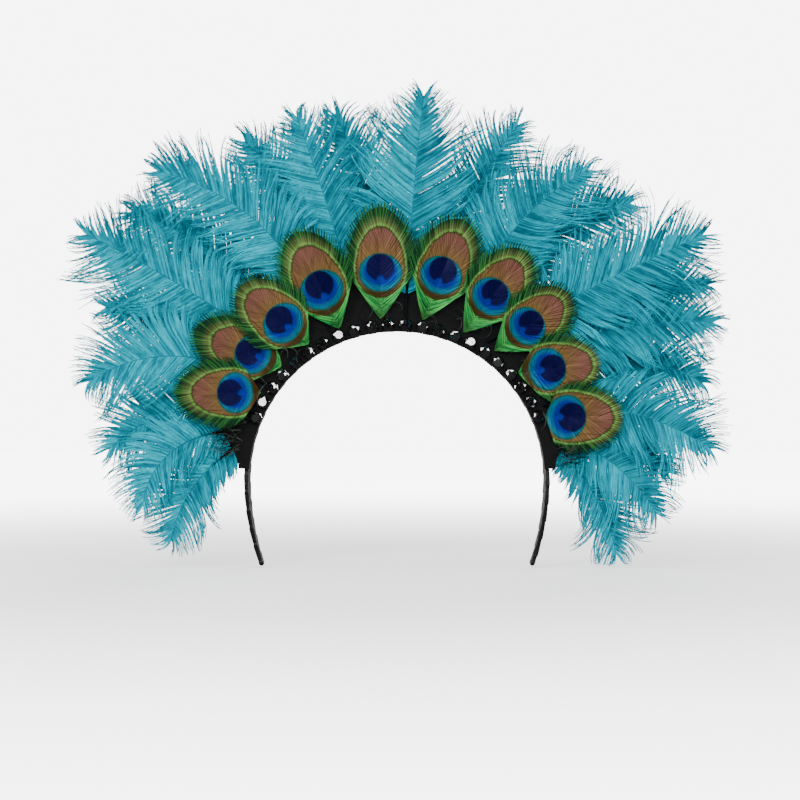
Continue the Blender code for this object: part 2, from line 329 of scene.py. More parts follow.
plume_dye_and_painted_shade = fibre_material("plume_dye_and_painted_shade", dye(0, 132, 154), dye(0, 188, 210), dye(0, 212, 232), 0.6)
quill_dye = fibre_material("quill_dye", dye(4, 10, 12), dye(0, 120, 140), dye(0, 150, 170), 0.45)
print("fibre finishes:", plume_dye_and_painted_shade.name, quill_dye.name)

# %% [markdown]
# ## Where a plume goes
# A plume is a quill that curls more and more toward its tip, with barbs on both sides. The fan
# has four layers that bowl forward. The table and the rules below repeat the solids' own, so
# each dressed plume lies in its solid. Each row gives the seat, the heading and the turn in
# degrees, the shares of the full length and barb, and the layer.

# %% The fan's own numbers
CENTRE_Z = -78.0 * MM
SEAT_RADIUS = 85.8 * MM
BARE_QUILL = 13.0 * MM
PLUME_LENGTH = 115.0 * MM
BARB_LENGTH = 38.0 * MM
LAYER_QUILL_Y = (-9.55 * MM, -4.95 * MM, -2.84 * MM, -0.73 * MM)
PLUMES = (
    ("plume_01", 163.0, 179.0, 92.0, 0.64, 0.79, 1),
    ("plume_02", 155.0, 172.0, 56.0, 0.71, 0.89, 2),
    ("plume_03", 144.0, 151.0, 68.0, 0.85, 0.95, 0),
    ("plume_04", 138.0, 143.0, 40.0, 0.87, 0.95, 3),
    ("plume_05", 132.5, 143.0, 12.0, 1.08, 1.05, 1),
    ("plume_06", 123.5, 128.0, 36.0, 1.03, 0.89, 2),
    ("plume_07", 114.5, 112.0, 60.0, 1.11, 0.87, 0),
    ("plume_08", 108.5, 102.0, 40.0, 0.99, 0.84, 2),
    ("plume_09", 102.5, 106.0, 4.0, 0.98, 1.00, 1),
    ("plume_10", 95.0, 93.0, 24.0, 0.98, 1.00, 3),
    ("plume_11", 87.0, 87.0, -4.0, 1.00, 1.16, 0),
    ("plume_12", 77.5, 78.0, -28.0, 1.00, 0.89, 2),
    ("plume_13", 68.0, 69.0, -44.0, 0.97, 1.05, 1),
    ("plume_14", 62.0, 66.0, -62.0, 1.01, 0.95, 3),
    ("plume_15", 57.0, 28.0, -4.0, 1.09, 1.05, 0),
    ("plume_16", 51.0, 33.0, -36.0, 1.03, 0.89, 2),
    ("plume_17", 45.5, 23.0, -28.0, 0.96, 0.89, 1),
    ("plume_18", 35.0, 26.0, -60.0, 0.85, 0.89, 3),
    ("plume_19", 27.0, 2.0, -40.0, 0.81, 0.89, 0),
    ("plume_20", 22.0, -11.0, -32.0, 0.63, 0.76, 2),
    ("plume_21", 17.0, -21.0, -42.0, 0.63, 0.82, 1),
    ("plume_22", 168.0, 215.0, 48.0, 0.56, 0.71, 2),
    ("plume_23", 12.0, -47.0, -34.0, 0.59, 0.68, 2),
)


def on_arc(radius, degrees):
    """x and z of a point on a circle about the centre of the band's arc."""
    angle = math.radians(degrees)
    return radius * math.cos(angle), CENTRE_Z + radius * math.sin(angle)


def ease(share):
    share = min(max(share, 0.0), 1.0)
    return share * share * (3.0 - 2.0 * share)


def plume_depth(layer, x, z, along):
    """How far back a point of a plume lies, in its layer's bowl."""
    radius = math.hypot(x, z - CENTRE_Z)
    root = LAYER_QUILL_Y[min(layer, 1)]
    y = root + (LAYER_QUILL_Y[layer] - root) * ease((radius - SEAT_RADIUS) / BARE_QUILL)
    out = max(0.0, radius - 109.0 * MM)
    y += (0.09 + 0.04 * layer) * out - 26.0 * MM * (out / (95.8 * MM)) ** 2.2
    return y - 8.0 * MM / (1.0 + layer) * max(0.0, (along - 0.55) / 0.45) ** 2


print("plumes in the fan:", len(PLUMES))

# %% [markdown]
# ## The quill as a guide
# A barb on the inside of a curl has less room than one outside, and both follow the bowl. A
# guide line along the quill carries, at each point, how far a barb may reach on each side, how
# much its end falls forward, and its angle to the quill. The tree then reads these by name.


# %% Lay out one quill
def quill_guide(name, seat, heading, turn, length_share, barb_share, layer):
    length, barb = PLUME_LENGTH * length_share, BARB_LENGTH * barb_share
    fine, last = 240, 0.97
    bare = BARE_QUILL / length
    x, z = on_arc(SEAT_RADIUS, seat)
    path = [(x, z, math.radians(heading))]
    for step in range(fine):
        angle = math.radians(heading + turn * ((step + 0.5) / fine) ** 1.3)
        x += length / fine * math.cos(angle)
        z += length / fine * math.sin(angle)
        path.append((x, z, math.radians(heading + turn * ((step + 1.0) / fine) ** 1.3)))
    line, numbers = [], {key: [] for key in ("sweep", "reach_l", "reach_r", "fall_l", "fall_r")}
    for step in range(61):
        share = last * step / 60.0
        x, z, angle = path[round(share * fine)]
        sweep = math.radians(60.0 - 14.0 * share - 22.0 * ease((share - 0.84) / 0.13))
        reach = barb * (0.55 + 0.45 * ease((share - bare) / 0.3))
        reach = min(reach, 6.5 * MM + 0.95 * (1.0 - share) * length)
        curvature = math.radians(abs(turn)) * 1.3 * max(share, 0.02) ** 0.3 / length
        inside = min(reach, 0.8 * math.sin(sweep) / curvature)
        y = plume_depth(layer, x, z, share)
        line.append((x, y, z))
        numbers["sweep"].append(sweep)
        for sign, side in ((1.0, "l"), (-1.0, "r")):
            extent = inside if sign * turn > 0.0 else reach
            tip_x = x + extent * math.cos(angle + sign * sweep)
            tip_z = z + extent * math.sin(angle + sign * sweep)
            along = share + extent * math.cos(sweep) / length
            fall = plume_depth(layer, tip_x, tip_z, along) - y - 1.35 * MM * (extent / BARB_LENGTH) ** 2
            numbers["reach_" + side].append(extent)
            numbers["fall_" + side].append(fall)
    return guide_mesh(name + "_quill", [line], numbers), bare / last, length * last


# %% [markdown]
# ## How a plume grows
# A hair system could grow the barbs, but hair isn't kept in an exported model, and real barbs
# don't stand evenly: they cling in small locks that end in a point, with gaps between. So the
# tree sets barbs along the quill, gives every lock its own reach, angle and lift, draws the
# barbs of a lock together toward their ends, and clothes each barb with fine barbules.


# %% The plume tree
LOWEST_TIP = -122.5 * MM


def make_plume_tree():
    bench = GrowingBench(
        "ostrich_plume",
        {
            "Barb Pairs": 100,
            "Lock Count": 24,
            "Bare Share": 0.12,
            "Vane Length": 0.1,
            "Barb Radius": 0.0003,
            "Barbule Length": 0.0046,
            "Barbule Width": 0.00052,
            "Barbule Spacing": 0.00092,
            "Seed": 1,
        },
    )
    add, number, given = bench.add, bench.math, bench.given
    seed, locks = given["Seed"], given["Lock Count"]
    quill = add("GeometryNodeMeshToCurve", {0: given["Guide"]})
    vane = add("GeometryNodeTrimCurve", {0: quill, 2: given["Bare Share"], 3: 1.0}, mode="FACTOR")

    def on_vane(share, value=None, output="Value"):
        """What the guide holds at a share of the vane: a named number, its place or its way."""
        wires = {"Curves": vane, "Factor": share}
        if value is not None:
            wires["Value"] = value
        return add("GeometryNodeSampleCurve", wires, mode="FACTOR", data_type="FLOAT").outputs[output]

    def by_side(side, share, name):
        on_left = number("GREATER_THAN", side, 0.0)
        left, right = (on_vane(share, bench.read(name + end)) for end in ("_l", "_r"))
        return add("ShaderNodeMix", {0: on_left, 2: right, 3: left}, data_type="FLOAT").outputs[0]

    def lay(share, run, side, lock, hold, own_reach, own_swing, own_lift, behind, point):
        """The place of a point of a barb. Barbs of a lock, and locks of a bunch, keep together."""
        label = number("ADD", lock, number("MULTIPLY", side, 500.0))
        bunch = number("FLOOR", number("DIVIDE", number("ADD", lock, 0.5), 4.0))
        bunch = number("ADD", bunch, number("MULTIPLY", side, 3000.0))

        def shared(low, high, lock_low, lock_high, step):
            of_bunch = bench.chance(low, high, bunch, seed, step)
            return number("ADD", of_bunch, bench.chance(lock_low, lock_high, label, seed, step))

        part = bench.ramp(run, 0.1, 1.0)
        reach = number("MULTIPLY", by_side(side, share, "reach"), shared(0.91, 1.05, -0.06, 0.06, 1.0))
        reach = number("MULTIPLY", reach, own_reach)
        swing = number("ADD", own_swing, shared(-0.07, 0.07, -0.03, 0.03, 2.0))
        swing = number("MULTIPLY_ADD", swing, part, on_vane(share, bench.read("sweep")))
        lift = number("ADD", own_lift, shared(-0.04, 0.03, -0.03, 0.03, 3.0))
        whole = bench.chance(-0.35, 0.5, number("MULTIPLY", side, 9.0), number("ADD", seed, 12.0))
        bend = number("ADD", whole, shared(-0.14, 0.14, -0.06, 0.06, 4.0))
        angle = number("MULTIPLY_ADD", bend, number("MULTIPLY_ADD", run, -0.5, 0.5), swing)
        hook = number("MULTIPLY", shared(-0.22, 0.2, -0.08, 0.08, 14.0), number("POWER", run, 3.0))
        angle = number("ADD", angle, hook)
        start = bench.chance(-0.1, 0.15, label, seed, 13.0)
        start = number("ADD", start, bench.ramp(share, 0.2, 0.7, 0.62, 0.2))
        draw = number("MULTIPLY", hold, bench.ramp(run, start, point))
        middle = number("SUBTRACT", number("DIVIDE", number("ADD", lock, 0.5), locks), share)
        gather = number("MULTIPLY", number("MULTIPLY", middle, given["Vane Length"]), draw)
        far, bent = number("MULTIPLY", reach, run), number("POWER", run, 1.7)
        forward = number("MULTIPLY_ADD", far, number("COSINE", angle), gather)
        aside = number("MULTIPLY", number("MULTIPLY", far, number("SINE", angle)), side)
        depth = number("SUBTRACT", by_side(side, share, "fall"), number("MULTIPLY", lift, reach))
        depth = number("MULTIPLY_ADD", depth, bent, behind)
        sag = number("MULTIPLY", number("MULTIPLY", far, run), -0.06)
        along = on_vane(share, output="Tangent")
        left = bench.vector("NORMALIZE", bench.vector("CROSS_PRODUCT", (0.0, -1.0, 0.0), along))
        spot = bench.vector("ADD", on_vane(share, output="Position"), bench.scaled(along, forward))
        spot = bench.vector("ADD", spot, bench.scaled(left, aside))
        spot = bench.vector("ADD", spot, bench.xyz(0.0, depth, sag))
        return bench.vector("MAXIMUM", spot, (-1.0, -1.0, LOWEST_TIP))

    def strand(geometry, share, run, side):
        """Numbers that let the dye run in streaks along the barbs."""
        across = number("MULTIPLY_ADD", share, 60.0, number("ADD", number("MULTIPLY", side, 300.0), seed))
        return bench.store(geometry, "strand", bench.xyz(across, run), "FLOAT_VECTOR")

    # Barbs, in pairs along the vane.
    count = given["Barb Pairs"]
    index = add("GeometryNodeInputIndex")
    place = number("DIVIDE", index, number("SUBTRACT", count, 1.0))
    roots = bench.store(bench.points(count), "place", place)
    pairs = add("GeometryNodeDuplicateElements", {0: roots, 2: 2}, domain="POINT")
    points = bench.store(pairs, "side", number("MULTIPLY_ADD", pairs.outputs[1], -2.0, 1.0))
    share, side = bench.read("place"), bench.read("side")
    wander = bench.chance(-0.35, 0.35, None, seed)
    lock = number("FLOOR", number("MULTIPLY_ADD", share, locks, wander))
    points = bench.store(points, "lock", lock)
    label = number("ADD", lock, number("MULTIPLY", side, 500.0))
    tone = bench.chance(0.0, 1.0, None, seed, 9.0)
    tone = number("ADD", tone, bench.chance(-0.2, 0.2, label, seed, 5.0))
    points = bench.store(points, "tone", tone)
    OWN = (
        ("own_reach", 0.8, 1.04, 6.0), ("own_swing", -0.06, 0.06, 7.0),
        ("own_lift", -0.03, 0.03, 8.0), ("own_hold", 0.4, 0.9, 11.0),
    )
    for name, low, high, step in OWN:
        points = bench.store(points, name, bench.chance(low, high, None, seed, step))
    barbs = bench.strands(points, 8)
    run = bench.read("run")
    hold = number("ADD", bench.read("own_hold"), bench.ramp(share, 0.3, 0.8, 0.0, 0.3))
    own = [bench.read(name) for name in ("own_reach", "own_swing", "own_lift")]
    spot = lay(share, run, side, bench.read("lock"), number("MINIMUM", hold, 0.95), *own, 0.0, 1.0)
    barbs = add("GeometryNodeSetPosition", {0: barbs, 2: spot})
    barbs = strand(barbs, share, run, side)
    thin = bench.ramp(run, 0.35, 1.0, 1.0, 0.62, smooth=False)
    shafts = bench.tube(barbs, number("MULTIPLY", given["Barb Radius"], thin), 3)

    # Barbules: single slivers that cling along their barb.
    perches = add("GeometryNodeCurveToPoints", {0: barbs, 2: given["Barbule Spacing"]}, mode="LENGTH")
    toned = number("ADD", bench.read("tone"), bench.chance(-0.3, 0.3, None, seed, 10.0))
    perches_toned = bench.store(perches, "tone", toned)
    lean = bench.vector("ADD", perches.outputs["Tangent"], bench.stray(0.3, seed))
    aim = add("FunctionNodeAlignRotationToVector", {2: lean}, axis="X")
    sliver = add("GeometryNodeMeshCircle", {0: 3, 1: 2.0 / 3.0}, fill_type="NGON")
    width = number("DIVIDE", given["Barbule Width"], 1.155)
    shape = bench.xyz(given["Barbule Length"], width, 1.0)
    move = bench.xyz(number("MULTIPLY", given["Barbule Length"], 0.3333))
    sliver = add("GeometryNodeTransform", {"Geometry": sliver, "Translation": move, "Scale": shape})
    long = number("MULTIPLY", bench.chance(0.6, 1.1, None, seed), bench.ramp(run, 0.5, 1.0, 1.0, 0.4))
    down = add("GeometryNodeInstanceOnPoints", {0: perches_toned, 2: sliver, 5: aim, 6: long})

    # Webs: where barbules hook together each lock is one leaf, which ends in a point.
    webs = []
    rows, per_lock = 8, 4.0
    for hand in (1.0, -1.0):
        columns = number("MULTIPLY", locks, per_lock)
        grid = add("GeometryNodeMeshGrid", {0: 1.0, 1: 1.0, 2: columns, 3: rows})
        column = number("FLOOR", number("DIVIDE", number("ADD", index, 0.5), float(rows)))
        leaf = number("FLOOR", number("DIVIDE", number("ADD", column, 0.5), per_lock))
        within = number("SUBTRACT", column, number("MULTIPLY", leaf, per_lock))
        grid = bench.store(grid, "lock", leaf)
        part = number("DIVIDE", within, per_lock - 1.0)
        grid = bench.store(grid, "place", number("DIVIDE", number("ADD", leaf, part), locks))
        row = number("SUBTRACT", index, number("MULTIPLY", column, float(rows)))
        tip = bench.ramp(bench.read("place"), 0.3, 0.8, 0.93, 0.56)
        grid = bench.store(grid, "run", number("MULTIPLY", row, number("DIVIDE", tip, rows - 1.0)))
        between = number("FLOOR", number("DIVIDE", number("ADD", index, 0.5), rows - 1.0))
        last = number("COMPARE", number("MODULO", between, per_lock), per_lock - 1.0, 0.5)
        sheet = add("GeometryNodeDeleteGeometry", {0: grid, 1: last}, domain="FACE")
        label = number("ADD", column, 900.0 * hand)
        # Each web column gets a random tone, capped below the barbs' range: random streaks, plus painted
        # shade that darkens the web behind the barbs.
        sheet = bench.store(sheet, "tone", bench.chance(0.0, 0.8, label, seed))
        share, run = bench.read("place"), bench.read("run")
        tip = bench.ramp(share, 0.3, 0.8, 0.95, 0.58)
        spot = lay(share, run, hand, bench.read("lock"), 1.0, 1.0, 0.0, 0.0, 0.45 * MM, tip)
        sheet = add("GeometryNodeSetPosition", {0: sheet, 2: spot})
        webs.append(strand(sheet, share, run, hand))
    web = add("GeometryNodeJoinGeometry")
    for sheet in webs:
        bench.tree.links.new(sheet, web.inputs[0])

    share = add("GeometryNodeSplineParameter").outputs[0]
    quill = bench.store(quill, "run", 0.5)
    quill = bench.store(quill, "tone", bench.ramp(share, 0.12, 0.3, -0.4, 0.5))
    stem = bench.tube(quill, bench.ramp(share, 0.1, 0.5, 0.85 * MM, 0.3 * MM, smooth=False), 6, True)
    return bench.finish([(stem, quill_dye), (shafts, plume_dye_and_painted_shade), (down, plume_dye_and_painted_shade), (web, plume_dye_and_painted_shade)])


plume_tree = make_plume_tree()
print("plume tree:", len(plume_tree.nodes), "nodes")

# %% Grow the plumes
# At both ends of the row no eye hides the roots, so barbs start nearer to the felt there.
END_PLUMES = ("plume_01", "plume_02", "plume_21", "plume_22", "plume_23")
END_BARE, INNER_BARE = 0.12, 0.85
BARB_PITCH, LOCK_PITCH = 0.62 * MM, 2.6 * MM
grown_plumes = []
for order, row in enumerate(PLUMES):
    guide, bare, quill_length = quill_guide(*row)
    bare *= END_BARE if row[0] in END_PLUMES else INNER_BARE
    plume = grow(
        row[0] + "_feather",
        guide,
        plume_tree,
        {
            "Barb Pairs": round((1.0 - bare) * quill_length / BARB_PITCH),
            "Lock Count": round(quill_length / LOCK_PITCH),
            "Bare Share": bare,
            "Vane Length": (1.0 - bare) * quill_length,
            "Seed": 40 * order,
        },
    )
    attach(plume, "root")
    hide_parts(row[0])
    grown_plumes.append(plume)
print("plume triangles:", sum(triangles(plume) for plume in grown_plumes))

# %% [markdown]
# ## The peacock's eye
# On the real feather the eye is one flat vane: every barb changes colour along its length, and
# the bands of all the barbs together draw the eye. A picture could be laid on a flat plate,
# but then the bands wouldn't break up at the fringe. Here each barb carries its place in the
# eye, and one shading group turns that place into bronze, blue and green.


# %% The eye's bands as a shading group
def make_eye_group():
    colour, number = "NodeSocketColor", "NodeSocketFloat"
    bench, given = shading_group(
        "eye_bands",
        (("Place", "NodeSocketVector", None), ("Tone", number, 0.5)),
        (("Colour", colour), ("Gloss", number), ("Height", number)),
    )
    math_, ramp, tint = bench.math, bench.ramp, bench.tint
    split = bench.add("ShaderNodeSeparateXYZ", {0: given["Place"]})
    across, up = split.outputs[0], split.outputs[1]
    tone = given["Tone"]
    waver = bench.add("ShaderNodeTexNoise", {"Vector": given["Place"], "Scale": 3.0})
    waver = math_("MULTIPLY_ADD", waver.outputs[0], 0.09, -0.045)
    jitter = math_("MULTIPLY_ADD", tone, 0.03, math_("SUBTRACT", waver, 0.015))

    def oval(centre, half, above, below, shift=0.0):
        """1 at the edge of an egg with its own half width and heights, less inside."""
        rise = math_("SUBTRACT", up, centre)
        tall = ramp(rise, -0.001, 0.001, below, above, smooth=False)
        wide = math_("DIVIDE", math_("SUBTRACT", across, shift), half)
        high = math_("DIVIDE", rise, tall)
        size = math_("ADD", math_("MULTIPLY", wide, wide), math_("MULTIPLY", high, high))
        return math_("ADD", math_("SQRT", size), jitter)

    def inside(edge, size=1.0, soft=0.05):
        return ramp(edge, size - soft, size + soft, 1.0, 0.0)

    egg = oval(0.1, 0.9, 1.58, 1.02)
    ring = oval(0.1, 0.975, 1.68, 1.2)
    disc = oval(0.0, 0.76, 0.66, 0.66)
    pupil = oval(0.2, 0.52, 0.48, 0.5)

    # Fringe: dark green ends with a khaki ground near the ring at the top.
    fringe = tint(ramp(tone, 0.25, 0.95), dye(4, 50, 28), dye(48, 124, 56))
    khaki = math_("MULTIPLY", inside(oval(0.1, 1.08, 1.9, 1.2), 1.0, 0.1), ramp(up, 0.6, 1.5, 0.0, 0.8))
    fringe = tint(khaki, fringe, tint(tone, dye(66, 66, 30), dye(138, 156, 90)))
    # The vee below: bright green with pale streaks and pale cut edges.
    vee = tint(ramp(tone, 0.35, 0.95), dye(20, 132, 62), dye(92, 204, 96))
    vee = tint(ramp(up, -1.7, -0.9), tint(tone, dye(20, 70, 30), dye(60, 130, 60)), vee)
    low = ramp(math_("ADD", up, math_("MULTIPLY", jitter, 2.0)), -0.42, -0.3, 1.0, 0.0)
    shade = tint(low, fringe, vee)
    lime = tint(tone, dye(84, 150, 60), dye(160, 204, 108))
    shade = tint(math_("MULTIPLY", inside(ring), ramp(up, -0.75, -0.1)), shade, lime)
    shade = tint(inside(egg, 1.02, 0.03), shade, dye(60, 66, 26))
    tan = tint(ramp(up, 0.5, 1.5), dye(138, 110, 62), dye(138, 92, 78))
    tan = tint(ramp(up, -0.75, -0.25), dye(70, 56, 20), tan)
    upward = bench.xyz(math_("MULTIPLY", across, 9.0), math_("MULTIPLY", up, 0.7))
    lines = bench.add("ShaderNodeTexNoise", {"Vector": upward, "Scale": 1.0})
    tan = tint(ramp(lines.outputs[0], 0.5, 0.72, 0.0, 0.7), tan, dye(74, 46, 26))
    tan = tint(ramp(tone, 0.4, 1.0, 0.0, 0.35), tan, dye(92, 60, 36))
    shade = tint(inside(egg, 0.97, 0.035), shade, tan)
    shade = tint(inside(disc, 1.07, 0.04), shade, dye(16, 100, 84))
    blue = tint(inside(oval(0.02, 0.62, 0.5, 0.5), 1.0, 0.16), dye(0, 118, 150), dye(0, 46, 160))
    shade = tint(inside(disc, 0.99, 0.025), shade, blue)
    # The pupil is a heart: two lobes with a small bright notch between them.
    notch = oval(-0.36, 0.15, 0.26, 0.4)
    heart = math_("MULTIPLY", inside(pupil, 1.0, 0.05), inside(notch, 1.0, 0.2))
    heart = math_("SUBTRACT", inside(pupil, 1.0, 0.05), heart, clamp=True)
    shade = tint(heart, shade, dye(6, 2, 72))
    gloss = inside(disc, 1.0, 0.05)
    barbules = bench.add("ShaderNodeTexNoise", {"Vector": given["Place"], "Scale": 60.0})
    bench.add("NodeGroupOutput", {0: shade, 1: gloss, 2: barbules.outputs[0]})
    return bench.tree


eye_bands = make_eye_group()


def make_eye_material():
    material, bench, shader = new_finish("peacock_eye")
    place = bench.add("ShaderNodeAttribute", attribute_name="eye_place").outputs["Vector"]
    tone = bench.add("ShaderNodeAttribute", attribute_name="tone").outputs["Fac"]
    bands = bench.add("ShaderNodeGroup", {0: place, 1: tone}, node_tree=eye_bands)
    bench.wire(bands.outputs["Colour"], shader.inputs["Base Color"])
    bench.wire(bench.ramp(bands.outputs["Gloss"], 0.0, 1.0, 0.5, 0.36), shader.inputs["Roughness"])
    shader.inputs["Metallic"].default_value = 0.3
    shader.inputs["Specular IOR Level"].default_value = 0.2
    add_relief(bench, shader, bands.outputs["Height"], 0.3, 0.1 * MM)
    return material


eye_vane = make_eye_material()
eye_quill = fibre_material("eye_quill", dye(90, 80, 60), dye(150, 140, 110), dye(190, 180, 150), 0.4)
print("eye finish:", eye_vane.name)

# %% [markdown]
# ## Where an eye goes
# Ten trimmed eyes overlap like tiles along the crescent. Each row gives the place of the cut
# point and the way the feather points in degrees, its share of the full width, the tilt over
# its neighbour and its set back, then three sizes in millimetres: from the cut point to the
# middle of the disc, on to the end of the fringe, and the half width of the pale ring.

# %% The row of eyes
EYE_ROOT_RADIUS = 84.6 * MM
EYE_HALF_WIDTH = 19.5
EYES = (
    ("peacock_eye_01", 147.6, 180.0, 0.94, 0.0, -1.0, 12.8, 32.2, 13.4),
    ("peacock_eye_02", 135.4, 157.5, 0.95, 0.0, 1.5, 16.1, 34.3, 13.5),
    ("peacock_eye_03", 123.2, 140.0, 0.98, 0.0, -1.0, 16.8, 31.2, 14.0),
    ("peacock_eye_04", 110.9, 114.6, 1.02, -9.0, 0.0, 21.8, 34.7, 14.6),
    ("peacock_eye_05", 95.7, 90.5, 1.00, 0.0, 1.5, 23.9, 36.1, 14.2),
    ("peacock_eye_06", 80.7, 68.0, 0.98, 9.0, 0.0, 24.8, 33.1, 14.0),
    ("peacock_eye_07", 65.6, 52.0, 0.95, 8.5, -0.2, 23.4, 31.4, 13.5),
    ("peacock_eye_08", 52.8, 37.0, 0.92, 9.0, 0.0, 21.0, 29.1, 13.0),
    ("peacock_eye_09", 41.3, 7.0, 0.96, 8.0, -0.6, 14.9, 27.9, 13.9),
    ("peacock_eye_10", 23.0, -2.0, 0.99, 9.0, 0.0, 10.5, 29.6, 14.6),
)


def eye_guide(name, half, tail, top, ring):
    """The quill line and half of the outline, flat, in metres: x across and y up the feather."""
    length = tail + top
    corner = (0.95 * ring, tail - 0.37 * ring)
    outline = [(0.0, 0.0)]
    for step in range(1, 11):
        share = step / 10.0
        outline.append((corner[0] * share, corner[1] * share ** 1.12))
    middle = tail + 0.3 * ring
    first = math.radians(-32.0)
    for step in range(1, 31):
        angle = first + (math.radians(90.0) - first) * step / 30.0
        lift = (length - middle) if angle > 0.0 else (middle - corner[1]) * 1.1
        outline.append((half * math.cos(angle) ** 0.9, middle + lift * math.sin(angle)))
    outline = [(x * MM, y * MM, 0.0) for x, y in outline]
    quill = [(0.0, 0.74 * length * MM * step / 20.0, 0.0) for step in range(21)]
    return guide_mesh(name + "_lines", [quill, outline], {})


# %% [markdown]
# ## How an eye grows
# Each barb leaves the quill low and runs in a slow bow to the outline. Where the maker cut the
# feather to a point, the outline is the cut edge. The tree samples the quill and the outline
# at matching shares, so any outline can be used, and lays a thin web under the barbs where the
# real barbules hook them together.


